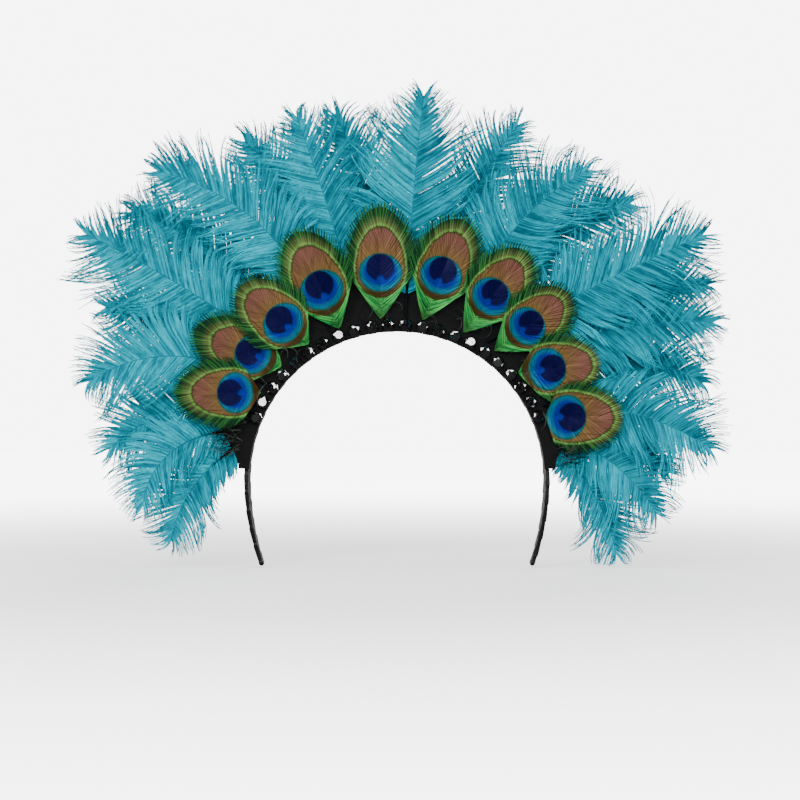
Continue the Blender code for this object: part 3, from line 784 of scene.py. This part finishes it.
# %% The eye tree
def make_eye_tree():
    bench = GrowingBench(
        "peacock_eye",
        {
            "Barbs Per Side": 120,
            "Barb Radius": 0.00034,
            "Disc Height": 0.0239,
            "Ring Half Width": 0.0142,
            "Bow": 0.16,
            "Seed": 1,
        },
    )
    add, number, given = bench.add, bench.math, bench.given
    seed = given["Seed"]
    lines = add("GeometryNodeMeshToCurve", {0: given["Guide"]})

    def along_line(which, factor):
        wires = {"Curves": lines, "Factor": factor, "Curve Index": which}
        return add("GeometryNodeSampleCurve", wires, mode="FACTOR").outputs["Position"]

    def low_start(share):
        """Barbs of the cut point all start low, the others in step with the outline."""
        curve = add("ShaderNodeFloatCurve", {1: share})
        handles = curve.mapping.curves[0].points
        handles[0].location, handles[1].location = (0.0, 0.0), (1.0, 1.0)
        for spot in ((0.28, 0.1), (0.55, 0.34), (0.8, 0.68)):
            handles.new(*spot)
        curve.mapping.update()
        return curve.outputs[0]

    def bowed(run, root, tip, bow):
        """A point of a quadratic line from root to tip whose middle is pushed outward."""
        chord = bench.vector("SUBTRACT", tip, root)
        split = add("ShaderNodeSeparateXYZ", {0: chord})
        push = bench.xyz(split.outputs[1], number("MULTIPLY", split.outputs[0], -1.0))
        hump = number("MULTIPLY", number("MULTIPLY", run, number("SUBTRACT", 1.0, run)), bow)
        spot = bench.vector("ADD", root, bench.scaled(chord, run))
        return bench.vector("ADD", spot, bench.scaled(push, hump))

    def on_side(spot, side, lift):
        split = add("ShaderNodeSeparateXYZ", {0: spot})
        return bench.xyz(number("MULTIPLY", split.outputs[0], side), split.outputs[1], lift)

    def with_place(geometry):
        """Stores the place in the eye: in ring half widths from the middle of the disc."""
        split = add("ShaderNodeSeparateXYZ", {0: add("GeometryNodeInputPosition")})
        across = number("DIVIDE", split.outputs[0], given["Ring Half Width"])
        up = number("SUBTRACT", split.outputs[1], given["Disc Height"])
        up = number("DIVIDE", up, given["Ring Half Width"])
        return bench.store(geometry, "eye_place", bench.xyz(across, up), "FLOAT_VECTOR")

    count, tufts = given["Barbs Per Side"], 46.0
    index = add("GeometryNodeInputIndex")
    share = number("DIVIDE", index, number("SUBTRACT", count, 1.0))
    row = bench.store(bench.points(count), "share", share)
    share = bench.read("share")
    row = bench.store(row, "root", along_line(0, low_start(share)), "FLOAT_VECTOR")
    tuft = number("FLOOR", number("MULTIPLY", share, tufts))
    tuft = number("DIVIDE", number("ADD", tuft, 0.5), tufts)
    gathered = bench.ramp(share, 0.27, 0.33, 0.0, 0.75)
    tuft = number("MULTIPLY_ADD", number("SUBTRACT", tuft, share), gathered, share)
    row = bench.store(row, "tip", along_line(1, tuft), "FLOAT_VECTOR")
    pairs = add("GeometryNodeDuplicateElements", {0: row, 2: 2}, domain="POINT")
    points = bench.store(pairs, "side", number("MULTIPLY_ADD", pairs.outputs[1], -2.0, 1.0))
    points = bench.store(points, "tone", bench.chance(0.0, 1.0, None, seed))
    own = bench.chance(-1.0, 1.0, None, seed, 1.0)
    own = number("MULTIPLY", own, bench.ramp(share, 0.28, 0.4))
    points = bench.store(points, "own", own)
    points = bench.store(points, "lift", bench.chance(-0.2 * MM, 0.2 * MM, None, seed, 2.0))

    barbs = bench.strands(points, 14)
    run, side = bench.read("run"), bench.read("side")
    root, tip = bench.read("root", "FLOAT_VECTOR"), bench.read("tip", "FLOAT_VECTOR")
    trim = number("MULTIPLY_ADD", bench.read("own"), 0.035, 1.0)
    bow = number("MULTIPLY_ADD", bench.read("own"), 0.12, given["Bow"])
    bow = number("MULTIPLY", bow, bench.ramp(bench.read("share"), 0.7, 1.0, 1.0, 0.0))
    spot = bowed(number("MULTIPLY", run, trim), root, tip, bow)
    barbs = add("GeometryNodeSetPosition", {0: barbs, 2: on_side(spot, side, bench.read("lift"))})
    barbs = with_place(barbs)
    thin = number("MULTIPLY", bench.ramp(run, 0.0, 0.7, 0.7, 1.0), bench.ramp(run, 0.85, 1.0, 1.0, 0.7))
    vane = bench.tube(barbs, number("MULTIPLY", given["Barb Radius"], thin), 3)

    # The web: one sheet a side, wound by the same rule as the barbs.
    sheets = []
    for hand in (1.0, -1.0):
        grid = add("GeometryNodeMeshGrid", {0: 1.0, 1: 1.0, 2: 40, 3: 8})
        split = add("ShaderNodeSeparateXYZ", {0: add("GeometryNodeInputPosition")})
        share = number("ADD", split.outputs[0], 0.5)
        reach = number("ADD", split.outputs[1], 0.5)
        reach = number("MULTIPLY", reach, bench.ramp(share, 0.26, 0.4, 0.97, 0.87))
        bow = number("MULTIPLY", given["Bow"], bench.ramp(share, 0.7, 1.0, 1.0, 0.0))
        spot = bowed(reach, along_line(0, low_start(share)), along_line(1, share), bow)
        sheet = add("GeometryNodeSetPosition", {0: grid, 2: on_side(spot, hand, -0.3 * MM)})
        if hand > 0.0:
            sheet = add("GeometryNodeFlipFaces", {0: sheet})
        sheets.append(bench.store(with_place(sheet), "tone", 0.35))
    share = add("GeometryNodeSplineParameter").outputs[0]
    outline = number("GREATER_THAN", index, 0.5)
    only_quill = add("GeometryNodeDeleteGeometry", {0: lines, 1: outline}, domain="CURVE")
    behind = add("GeometryNodeSetPosition", {0: only_quill, 3: (0.0, 0.0, -0.55 * MM)})
    stem = bench.tube(behind, bench.ramp(share, 0.0, 1.0, 0.5 * MM, 0.2 * MM, smooth=False), 6, True)
    web = add("GeometryNodeJoinGeometry")
    for sheet in sheets:
        bench.tree.links.new(sheet, web.inputs[0])
    return bench.finish([(stem, eye_quill), (web, eye_vane), (vane, eye_vane)])


eye_tree = make_eye_tree()
print("eye tree:", len(eye_tree.nodes), "nodes")


# %% Grow the eyes and lay them on the crescent
def lay_on_fan(mesh, root, axis, tilt, set_back):
    """Moves a flat eye to its place: the cut point on the crescent, the rest in front of it."""
    flat = np.empty(len(mesh.vertices) * 3)
    mesh.vertices.foreach_get("co", flat)
    across, up, lift = flat.reshape(-1, 3).T
    across = -across
    root_x, root_z = on_arc(EYE_ROOT_RADIUS, root)
    axis_x, axis_z = math.cos(math.radians(axis)), math.sin(math.radians(axis))
    rise = np.clip(up / (5.0 * MM), 0.0, 1.0)
    rise = rise * rise * (3.0 - 2.0 * rise)
    y = -11.4 * MM + set_back * MM - 0.10 * up - math.tan(math.radians(tilt)) * across
    y = -9.15 * MM + (y + 9.15 * MM) * rise - lift
    x = root_x + up * axis_x - across * axis_z
    z = root_z + up * axis_z + across * axis_x
    mesh.vertices.foreach_set("co", np.stack((x, y, z), 1).ravel())
    mesh.update()


grown_eyes = []
for order, (name, root, axis, width_share, tilt, set_back, tail, top, ring) in enumerate(EYES):
    eye = grow(
        name + "_feather",
        eye_guide(name, EYE_HALF_WIDTH * width_share, tail, top, ring),
        eye_tree,
        {"Disc Height": tail * MM, "Ring Half Width": ring * MM, "Seed": 700 + 10 * order},
    )
    lay_on_fan(eye.data, root, axis, tilt, set_back)
    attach(eye, "root")
    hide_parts(name)
    grown_eyes.append(eye)
print("eye triangles:", sum(triangles(eye) for eye in grown_eyes))

# %% [markdown]
# ## Cut jet stones
# A row of black cut stones follows the hair line. On the real piece each is a pressed, polished
# stone with flat facets that flash white under a lamp. Smooth domes would show one soft spot
# each, so one stone is cut here with flat faces in three tiers, and a tree repeats it along the
# arc, each turned and tipped a little differently, as glued stones are.


# %% Cut one stone
def cut_stone():
    """A stone with its girdle's back at the origin and its table toward -Y."""
    shape = bmesh.new()
    sides = 8
    # Each tier: its radius and rise in millimetres, and its turn in shares of a side.
    tiers = ((3.1, 0.0, 0.0), (3.6, 1.0, 0.0), (3.0, 2.35, 0.5), (2.1, 3.2, 0.0))
    rings = []
    for radius, rise, turn in tiers:
        ring = []
        for side in range(sides):
            angle = 2.0 * math.pi * (side + turn) / sides
            x, z = radius * MM * math.cos(angle), radius * MM * math.sin(angle)
            ring.append(shape.verts.new((x, -rise * MM, z)))
        rings.append(ring)
    for tier, (low, high) in enumerate(zip(rings, rings[1:])):
        for side in range(sides):
            after = (side + 1) % sides
            if tier == 0:
                shape.faces.new((low[side], low[after], high[after], high[side]))
            elif tier == 1:
                shape.faces.new((low[side], low[after], high[side]))
                shape.faces.new((low[after], high[after], high[side]))
            else:
                shape.faces.new((low[side], high[after], high[side]))
                shape.faces.new((low[side], low[after], high[after]))
    shape.faces.new(rings[0])
    shape.faces.new(rings[-1])
    bmesh.ops.recalc_face_normals(shape, faces=shape.faces)
    mesh = bpy.data.meshes.new("cut_stone")
    shape.to_mesh(mesh)
    shape.free()
    return mesh


# %% The stones' finish and row
def make_jet_material():
    material, bench, shader = new_finish("cut_jet")
    place = bench.add("ShaderNodeTexCoord").outputs["Object"]
    cloud = bench.add("ShaderNodeTexNoise", {"Vector": place, "Scale": 220.0})
    bench.wire(bench.tint(cloud.outputs[0], dye(3, 3, 4), dye(14, 14, 17)), shader.inputs["Base Color"])
    scuff = bench.add("ShaderNodeTexNoise", {"Vector": place, "Scale": 1400.0})
    bench.wire(bench.ramp(scuff.outputs[0], 0.6, 0.75, 0.0, 0.1), shader.inputs["Roughness"])
    shader.inputs["IOR"].default_value = 2.3
    shader.inputs["Coat Weight"].default_value = 0.6
    shader.inputs["Coat Roughness"].default_value = 0.0
    return material


cut_jet = make_jet_material()


def make_stone_tree():
    bench = GrowingBench(
        "stone_row",
        {"Stones": 22, "First Angle": 2.728, "Pitch": 0.11, "Row Radius": 0.08095, "Tip": 0.3, "Seed": 5},
    )
    add, number, given = bench.add, bench.math, bench.given
    index = add("GeometryNodeInputIndex")
    places = bench.points(given["Stones"])
    angle = number("SUBTRACT", given["First Angle"], number("MULTIPLY", index, given["Pitch"]))
    x = number("MULTIPLY", number("COSINE", angle), given["Row Radius"])
    z = number("MULTIPLY_ADD", number("SINE", angle), given["Row Radius"], CENTRE_Z)
    places = add("GeometryNodeSetPosition", {0: places, 2: bench.xyz(x, -8.6 * MM, z)})
    tip = given["Tip"]
    spin = bench.chance(0.0, 6.28, None, given["Seed"])
    nod = number("MULTIPLY", bench.chance(-1.0, 1.0, None, given["Seed"], 1.0), tip)
    sway = number("MULTIPLY", bench.chance(-1.0, 1.0, None, given["Seed"], 2.0), tip)
    spun, tipped = bench.turned(y=spin), bench.turned(nod, 0.0, sway)
    turned = add("FunctionNodeRotateRotation", {0: spun, 1: tipped})
    row = add("GeometryNodeInstanceOnPoints", {0: places, 2: given["Guide"], 5: turned})
    return bench.finish([(row, cut_jet)])


stones = grow("jet_stones", cut_stone(), make_stone_tree(), {})
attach(stones, "root")
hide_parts(*(f"jet_stone_{number:02d}" for number in range(1, 23)))
print("stone triangles:", triangles(stones))

# %% [markdown]
# ## The wrapped head band
# The strip that holds the piece is a springy band wound with black satin ribbon. Hair hides it
# in the picture, but it shows from below and behind. A plain sweep would have no turns of
# ribbon, so the tree winds a sheet round the band and lifts each turn over the one before.


# %% Woven finishes
def make_weave_group():
    number = "NodeSocketFloat"
    bench, given = shading_group(
        "weave",
        (("Place", "NodeSocketVector", None), ("Threads", number, 2400.0), ("Slub", number, 0.4)),
        (("Height", number), ("Thread Mask", number)),
    )
    wires = {"Vector": given["Place"], "Scale": given["Threads"]}
    across, along = (bench.add("ShaderNodeTexWave", wires, bands_direction=way) for way in "XY")
    cloud = bench.add("ShaderNodeTexNoise", {"Vector": given["Place"], "Scale": 420.0})
    cross = bench.math("MULTIPLY", across.outputs["Fac"], along.outputs["Fac"])
    slub = bench.math("MULTIPLY", cloud.outputs[0], given["Slub"])
    height = bench.math("ADD", cross, slub)
    bench.add("NodeGroupOutput", {0: height, 1: bench.ramp(height, 0.2, 0.9)})
    return bench.tree


weave = make_weave_group()


def cloth_material(name, dark, light, roughness, sheen, threads, attribute, strength):
    material, bench, shader = new_finish(name)
    if attribute:
        place = bench.add("ShaderNodeAttribute", attribute_name=attribute).outputs["Vector"]
    else:
        place = bench.add("ShaderNodeTexCoord").outputs["Object"]
    threads_node = bench.add("ShaderNodeGroup", {0: place, 1: threads, 2: 0.5}, node_tree=weave)
    tint = bench.tint(threads_node.outputs["Thread Mask"], dark, light)
    bench.wire(tint, shader.inputs["Base Color"])
    rough = bench.ramp(threads_node.outputs["Thread Mask"], 0.0, 1.0, roughness + 0.1, roughness)
    bench.wire(rough, shader.inputs["Roughness"])
    shader.inputs["Specular IOR Level"].default_value = 0.3
    shader.inputs["Sheen Weight"].default_value = sheen
    shader.inputs["Sheen Roughness"].default_value = 0.35
    add_relief(bench, shader, threads_node.outputs["Height"], strength, 0.08 * MM)
    return material


satin = cloth_material("black_satin", dye(6, 6, 8), dye(26, 26, 30), 0.34, 0.2, 900.0, "ribbon", 0.25)
felt = cloth_material("black_felt", dye(3, 3, 4), dye(13, 13, 15), 0.9, 0.03, 700.0, None, 0.5)
thread = cloth_material("black_thread", dye(12, 12, 14), dye(44, 44, 50), 0.5, 0.2, 1600.0, None, 0.3)

# %% The band's path
BAND_RADIUS = 78.0 * MM
BAND_WIDTH = 23.9 * MM
BAND_MIDDLE_Y = (-5.9 + 11.95) * MM


def band_guide():
    """The middle of the band from leg tip to leg tip, with its half width."""
    half_path = []
    for step in range(31):
        x, z = on_arc(BAND_RADIUS, 90.0 - 3.0 * step)
        half_path.append((x, z, 0.0))
    for step in range(1, 16):
        share = step / 15.0
        x = BAND_RADIUS - 8.0 * MM * share * share
        half_path.append((x, CENTRE_Z - 46.0 * MM * share, 7.0 * MM * ease(share)))
    full = [(-x, z, inset) for x, z, inset in reversed(half_path[1:])] + half_path
    line = [(x, BAND_MIDDLE_Y, z) for x, z, _ in full]
    halves = [BAND_WIDTH / 2.0 - inset for _, _, inset in full]
    return guide_mesh("band_path", [line], {"half": halves})


# %% Wind the ribbon
def make_wrap_tree():
    bench = GrowingBench(
        "ribbon_wrap",
        {
            "Turn Pitch": 0.0092,
            "Turn Rise": 0.00035,
            "Slant": 0.35,
            "Band Thickness": 0.0022,
            "Band Length": 0.33,
        },
    )
    add, number, given = bench.add, bench.math, bench.given
    path = add("GeometryNodeMeshToCurve", {0: given["Guide"]})
    grid = add("GeometryNodeMeshGrid", {0: 1.0, 1: 1.0, 2: 420, 3: 33})
    split = add("ShaderNodeSeparateXYZ", {0: add("GeometryNodeInputPosition")})
    along, round_ = number("ADD", split.outputs[0], 0.5), number("ADD", split.outputs[1], 0.5)
    grid = bench.store(bench.store(grid, "along", along), "round", round_)
    along, round_ = bench.read("along"), bench.read("round")

    def on_path(value=None, output="Value"):
        wires = {"Curves": path, "Factor": along}
        if value is not None:
            wires["Value"] = value
        return add("GeometryNodeSampleCurve", wires, mode="FACTOR", data_type="FLOAT").outputs[output]

    angle = number("MULTIPLY", round_, 2.0 * math.pi)

    def boxy(turn):
        """A cosine or sine pressed out toward the corners of a rounded box."""
        return number("MULTIPLY", number("SIGN", turn), number("POWER", number("ABSOLUTE", turn), 0.42))

    wide, thick = boxy(number("COSINE", angle)), boxy(number("SINE", angle))
    run = number("MULTIPLY", along, given["Band Length"])
    skew = number("MULTIPLY", number("MULTIPLY", wide, given["Slant"]), given["Turn Pitch"])
    turns = number("DIVIDE", number("ADD", run, skew), given["Turn Pitch"])
    within = number("FRACT", turns)
    rise = bench.ramp(within, 0.0, 0.93, smooth=False)
    rise = number("MULTIPLY", rise, bench.ramp(within, 0.93, 1.0, 1.0, 0.0))
    rise = number("MULTIPLY", rise, given["Turn Rise"])
    ends = number("MINIMUM", along, number("SUBTRACT", 1.0, along))
    ends = number("MULTIPLY", ends, given["Band Length"])
    ends = number("SQRT", bench.ramp(ends, 0.0, 1.2 * MM, smooth=False))
    half = number("SUBTRACT", on_path(bench.read("half")), 0.4 * MM)
    aside = number("MULTIPLY", number("MULTIPLY", wide, number("ADD", half, rise)), ends)
    middle = number("MULTIPLY", given["Band Thickness"], 0.5)
    proud = number("MULTIPLY", number("MULTIPLY", thick, number("ADD", middle, rise)), ends)
    proud = number("ADD", proud, 1.28 * MM)
    outward = bench.vector("CROSS_PRODUCT", (0.0, -1.0, 0.0), on_path(output="Tangent"))
    outward = bench.vector("NORMALIZE", outward)
    spot = bench.vector("ADD", on_path(output="Position"), bench.scaled(outward, proud))
    spot = bench.vector("ADD", spot, bench.xyz(y=aside))
    wound = add("GeometryNodeSetPosition", {0: grid, 2: spot})
    ribbon = bench.xyz(number("MULTIPLY", turns, 0.02), number("MULTIPLY", round_, 0.05))
    wound = bench.store(wound, "ribbon", ribbon, "FLOAT_VECTOR")
    wound = add("GeometryNodeMergeByDistance", {0: wound, "Distance": 0.00001})
    return bench.finish([(wound, satin)])


band = grow("wrapped_band", band_guide(), make_wrap_tree(), {})
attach(band, "root")
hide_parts("headband")
print("band triangles:", triangles(band))

# %% [markdown]
# ## The felt crescents
# The black plate behind the eyes is stiff felt, and a lower one behind closes in the quill
# ends. Felt has no weave edge: short fibres stand out all over and show best along the rim. So
# a rounded plate is built first, then a tree sets fibres on its faces and running stitches
# along its rim.


# %% Cut the felt
def felt_crescent(name, inner, height, end_angle, end_height, back_y, thickness):
    """A plate along the arc, from back_y toward the front, with its rim softly rounded."""
    steps = 96
    corners = ((False, False, 270.0), (False, True, 180.0), (True, True, 90.0), (True, False, 0.0))
    edge = 0.28 * MM
    loops = []
    for step in range(steps + 1):
        degrees = end_angle + (180.0 - 2.0 * end_angle) * step / steps
        from_end = min(degrees, 180.0 - degrees) - end_angle
        outer = inner + end_height + (height - end_height) * ease(from_end / 24.0)
        ring = []
        for outside, behind, heading in corners:
            radius = (outer - edge) if outside else (inner + edge)
            y = (back_y - edge) if behind else (back_y - thickness + edge)
            for turn in range(4):
                swing = math.radians(heading - 30.0 * turn)
                ring.append((radius + edge * math.cos(swing), y + edge * math.sin(swing)))
        x_z = [(on_arc(radius, degrees), y) for radius, y in ring]
        loops.append([(x, y, z) for (x, z), y in x_z])
    shape = bmesh.new()
    rows = [[shape.verts.new(point) for point in loop] for loop in loops]
    count = len(rows[0])
    for first, second in zip(rows, rows[1:]):
        for corner in range(count):
            after = (corner + 1) % count
            shape.faces.new((first[corner], first[after], second[after], second[corner]))
    shape.faces.new(rows[0])
    shape.faces.new(rows[-1])
    bmesh.ops.recalc_face_normals(shape, faces=shape.faces)
    mesh = bpy.data.meshes.new(name)
    shape.to_mesh(mesh)
    shape.free()
    return mesh


# %% Fibres and stitches on the felt
def make_felt_tree():
    bench = GrowingBench(
        "felt_plate",
        {
            "Fibre Density": 550000.0,
            "Fibre Length": 0.0009,
            "Stitch Pitch": 0.0034,
            "Stitch Length": 0.0022,
            "Stitch Radius": 79.0 * MM,
            "Stitch Depth": -8.3 * MM,
            "Stitch Count": 60,
            "Seed": 3,
        },
    )
    add, number, given = bench.add, bench.math, bench.given
    plate, seed = given["Guide"], given["Seed"]
    wires = {"Mesh": plate, "Density": given["Fibre Density"], "Seed": seed}
    spots = add("GeometryNodeDistributePointsOnFaces", wires, distribute_method="RANDOM")
    lean = bench.vector("ADD", spots.outputs["Normal"], bench.stray(0.9, seed))
    aim = add("FunctionNodeAlignRotationToVector", {2: lean}, axis="X")
    sliver = add("GeometryNodeMeshCircle", {0: 3, 1: 2.0 / 3.0}, fill_type="NGON")
    shape = bench.xyz(given["Fibre Length"], 0.08 * MM, 1.0)
    sliver = add("GeometryNodeTransform", {"Geometry": sliver, "Scale": shape})
    size = bench.chance(0.4, 1.0, None, seed)
    fuzz = add("GeometryNodeInstanceOnPoints", {0: spots, 2: sliver, 5: aim, 6: size})
    index = add("GeometryNodeInputIndex")
    row = bench.points(given["Stitch Count"])
    step = number("DIVIDE", given["Stitch Pitch"], given["Stitch Radius"])
    middle = number("MULTIPLY", number("SUBTRACT", given["Stitch Count"], 1.0), 0.5)
    angle = number("ADD", number("MULTIPLY", number("SUBTRACT", index, middle), step), math.pi / 2.0)
    x = number("MULTIPLY", number("COSINE", angle), given["Stitch Radius"])
    z = number("MULTIPLY_ADD", number("SINE", angle), given["Stitch Radius"], CENTRE_Z)
    row = add("GeometryNodeSetPosition", {0: row, 2: bench.xyz(x, given["Stitch Depth"], z)})
    tilt = bench.chance(-0.06, 0.06, None, seed)
    turn = number("SUBTRACT", number("ADD", math.pi / 2.0, tilt), angle)
    bar = add("GeometryNodeMeshIcoSphere", {"Radius": 1.0, "Subdivisions": 1})
    size = bench.xyz(number("MULTIPLY", given["Stitch Length"], 0.5), 0.16 * MM, 0.18 * MM)
    bar = add("GeometryNodeTransform", {"Geometry": bar, "Scale": size})
    stitches = add("GeometryNodeInstanceOnPoints", {0: row, 2: bar, 5: bench.turned(y=turn)})
    return bench.finish([(plate, felt), (fuzz, felt), (stitches, thread)])


felt_tree = make_felt_tree()
FELT_PIECES = (
    # name, node, inner radius, height, end angle, end height, seam radius, which face is sewn
    ("felt_backing", "backing", 77.65, 31.0, 4.0, 5.5, 106.6, "front"),
    ("felt_cover", "back_cover", 80.85, 20.0, 7.0, 4.0, 98.6, "back"),
)
for name, node, inner, height, end, end_height, seam, face in FELT_PIECES:
    low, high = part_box(node)
    plate = felt_crescent(name, inner * MM, height * MM, end, end_height * MM, high.y, high.y - low.y)
    seam_y = low.y - 0.1 * MM if face == "front" else high.y + 0.1 * MM
    count = round(math.radians(118.0) * seam / 3.4)
    sizes = {"Stitch Radius": seam * MM, "Stitch Depth": seam_y, "Stitch Count": count}
    piece = grow(name, plate, felt_tree, sizes)
    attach(piece, "root")
    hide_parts(node)
    print(name, "triangles:", triangles(piece))

# %% [markdown]
# ## Loose filaments
# Thin dark barbs that came loose when the eyes were trimmed curl over the stones, and short
# fuzzy strands fill the ends of the row. They are too fine to cut one by one: a tree scatters
# them along the arc and curls each by its own amount.


# %% Curl the filaments
def make_filament_tree():
    bench = GrowingBench(
        "loose_filaments",
        {
            "Filaments": 70,
            "First Angle": 0.42,
            "Last Angle": 2.72,
            "Spread": 1.5,
            "Filament Length": 0.017,
            "Filament Radius": 0.00014,
            "Curl": 3.2,
            "Seed": 11,
        },
    )
    add, number, given = bench.add, bench.math, bench.given
    seed = given["Seed"]
    first = given["First Angle"]
    start = bench.chance(0.0, 1.0, None, seed)
    start = number("MULTIPLY_ADD", start, number("SUBTRACT", given["Last Angle"], first), first)
    rows = bench.store(bench.points(given["Filaments"]), "start", start)
    rows = bench.store(rows, "deep", bench.chance(-12.8 * MM, -9.4 * MM, None, seed, 1.0))
    rows = bench.store(rows, "from", bench.chance(83.0 * MM, 93.0 * MM, None, seed, 2.0))
    shares = (
        # name, lowest and highest share, step of the draw, the whole
        ("head", -1.0, 1.0, 3.0, "Spread"),
        ("curl", -1.0, 1.0, 4.0, "Curl"),
        ("size", 0.45, 1.0, 5.0, "Filament Length"),
    )
    for name, low, high, step, whole in shares:
        share = bench.chance(low, high, None, seed, step)
        rows = bench.store(rows, name, number("MULTIPLY", share, given[whole]))
    rows = bench.store(rows, "tone", bench.chance(0.0, 1.0, None, seed, 6.0))
    hairs = bench.strands(rows, 14)
    run, curl = bench.read("run"), bench.read("curl")
    width = number("MULTIPLY", number("MULTIPLY", curl, run), 0.5)
    heading = number("ADD", number("ADD", bench.read("start"), bench.read("head")), width)
    chord = number("DIVIDE", number("SINE", width), number("ADD", width, 0.0001))
    far = number("MULTIPLY", number("MULTIPLY", bench.read("size"), run), chord)
    x = number("MULTIPLY", number("COSINE", bench.read("start")), bench.read("from"))
    x = number("MULTIPLY_ADD", number("COSINE", heading), far, x)
    z = number("MULTIPLY_ADD", number("SINE", bench.read("start")), bench.read("from"), CENTRE_Z)
    z = number("MULTIPLY_ADD", number("SINE", heading), far, z)
    bulge = number("MULTIPLY", run, number("SUBTRACT", 1.0, run))
    y = number("SUBTRACT", bench.read("deep"), number("MULTIPLY", bulge, 5.0 * MM))
    hairs = add("GeometryNodeSetPosition", {0: hairs, 2: bench.xyz(x, y, z)})
    thin = bench.ramp(run, 0.0, 1.0, 1.0, 0.4)
    body = bench.tube(hairs, number("MULTIPLY", given["Filament Radius"], thin), 3)
    return bench.finish([(body, dark_barb)])


dark_barb = fibre_material("dark_barb", dye(6, 10, 10), dye(24, 34, 30), dye(104, 116, 104), 0.35)
filament_tree = make_filament_tree()
FILAMENTS = (
    # name, how many, first and last angle, spread, length, curl, seed
    ("loose_filaments", 70, 0.42, 2.72, 1.5, 17.0, 3.2, 11),
    ("left_end_strands", 130, 2.72, 3.0, 0.8, 16.0, 1.6, 12),
    ("right_end_strands", 60, 0.08, 0.2, 0.8, 14.0, 1.6, 13),
)
for name, count, first, last, spread, length, curl, seed in FILAMENTS:
    sizes = {
        "Filaments": count, "First Angle": first, "Last Angle": last, "Spread": spread,
        "Filament Length": length * MM, "Curl": curl, "Seed": seed,
    }
    start = guide_mesh(name + "_start", [[(0.0, 0.0, 0.0)]], {})
    filaments = grow(name, start, filament_tree, sizes)
    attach(filaments, "root")
    print(name, "triangles:", triangles(filaments))

# %% [markdown]
# ## The studio
# A pale floor, a white surround and soft lights, as in a catalogue picture. A bright surround
# would also light the dye until it looked washed out, so it is bright for the lens alone and
# dim for the feathers: the light path node tells the rays apart. Only polished facets mirror
# the third room, which is black with bright spots, so that the cut stones flash as on stage.
# The floor is dark to them too, like the black card that a photographer lays before a jewel.

# %% The floor
WHITE = 7.0


def make_floor():
    size, level = 2.4, -0.1252
    mesh = bpy.data.meshes.new("studio_floor")
    corners = [(x * size, y * size, level) for x, y in ((-1, -1), (1, -1), (1, 1), (-1, 1))]
    mesh.from_pydata(corners, [], [(0, 1, 2, 3)])
    material, bench, shader = new_finish("pale_paper")
    place = bench.add("ShaderNodeTexCoord").outputs["Object"]
    fibres = bench.add("ShaderNodeTexNoise", {"Vector": place, "Scale": 900.0})
    paper = bench.tint(fibres.outputs[0], (0.86, 0.86, 0.86, 1.0), (0.9, 0.9, 0.9, 1.0))
    path = bench.add("ShaderNodeLightPath").outputs
    paper = bench.tint(path["Is Glossy Ray"], paper, (0.04, 0.04, 0.04, 1.0))
    bench.wire(paper, shader.inputs["Base Color"])
    shader.inputs["Roughness"].default_value = 0.9
    away = bench.add("ShaderNodeVectorMath", {0: place}, operation="LENGTH").outputs["Value"]
    glow = bench.math("MULTIPLY", bench.ramp(away, 0.15, 1.0, 1.2, WHITE), path["Is Camera Ray"])
    shader.inputs["Emission Color"].default_value = (1.0, 1.0, 1.0, 1.0)
    bench.wire(glow, shader.inputs["Emission Strength"])
    mesh.materials.append(material)
    floor = bpy.data.objects.new("studio_floor", mesh)
    scene.collection.objects.link(floor)


make_floor()

# %% Surround and lights
LIGHTS = (
    # name, place, aimed at, size in metres, watts
    ("front", (-0.1, -1.3, 0.35), (0.0, 0.0, 0.0), 0.22, 6.4),
    ("key", (-0.6, -1.1, 0.8), (0.0, 0.0, 0.0), 0.36, 10.5),
    ("fill", (0.9, -1.0, 0.2), (0.0, 0.0, 0.0), 0.4, 5.0),
    ("top", (0.0, -0.2, 1.2), (0.0, 0.0, 0.0), 0.8, 6.0),
    ("back", (0.3, 1.2, 0.7), (0.0, 0.0, 0.0), 0.5, 6.0),
)
for name, place, target, size, watts in LIGHTS:
    lamp = bpy.data.lights.new(name, "AREA")
    lamp.shape = "SQUARE"
    lamp.size = size
    lamp.energy = watts
    light = bpy.data.objects.new(name, lamp)
    light.location = place
    light.rotation_euler = (Vector(target) - Vector(place)).to_track_quat("-Z", "Y").to_euler()
    scene.collection.objects.link(light)
world = bpy.data.worlds.new("studio")
world.use_nodes = True
surround = Bench(world.node_tree)
around = surround.add("ShaderNodeTexCoord").outputs["Generated"]
spots = surround.add("ShaderNodeTexVoronoi", {"Vector": around, "Scale": 2.5}).outputs["Distance"]
path = surround.add("ShaderNodeLightPath")
flashes = surround.ramp(spots, 0.45, 0.48, 16.0, 0.02)
room = surround.ramp(path.outputs["Is Singular Ray"], 0.0, 1.0, 0.33, flashes, smooth=False)
seen = path.outputs["Is Camera Ray"]
background = world.node_tree.nodes["Background"]
background.inputs["Color"].default_value = (1.0, 1.0, 1.0, 1.0)
strength = surround.ramp(seen, 0.0, 1.0, room, WHITE, smooth=False)
surround.wire(strength, background.inputs["Strength"])
scene.world = world
print("lights:", len(LIGHTS))
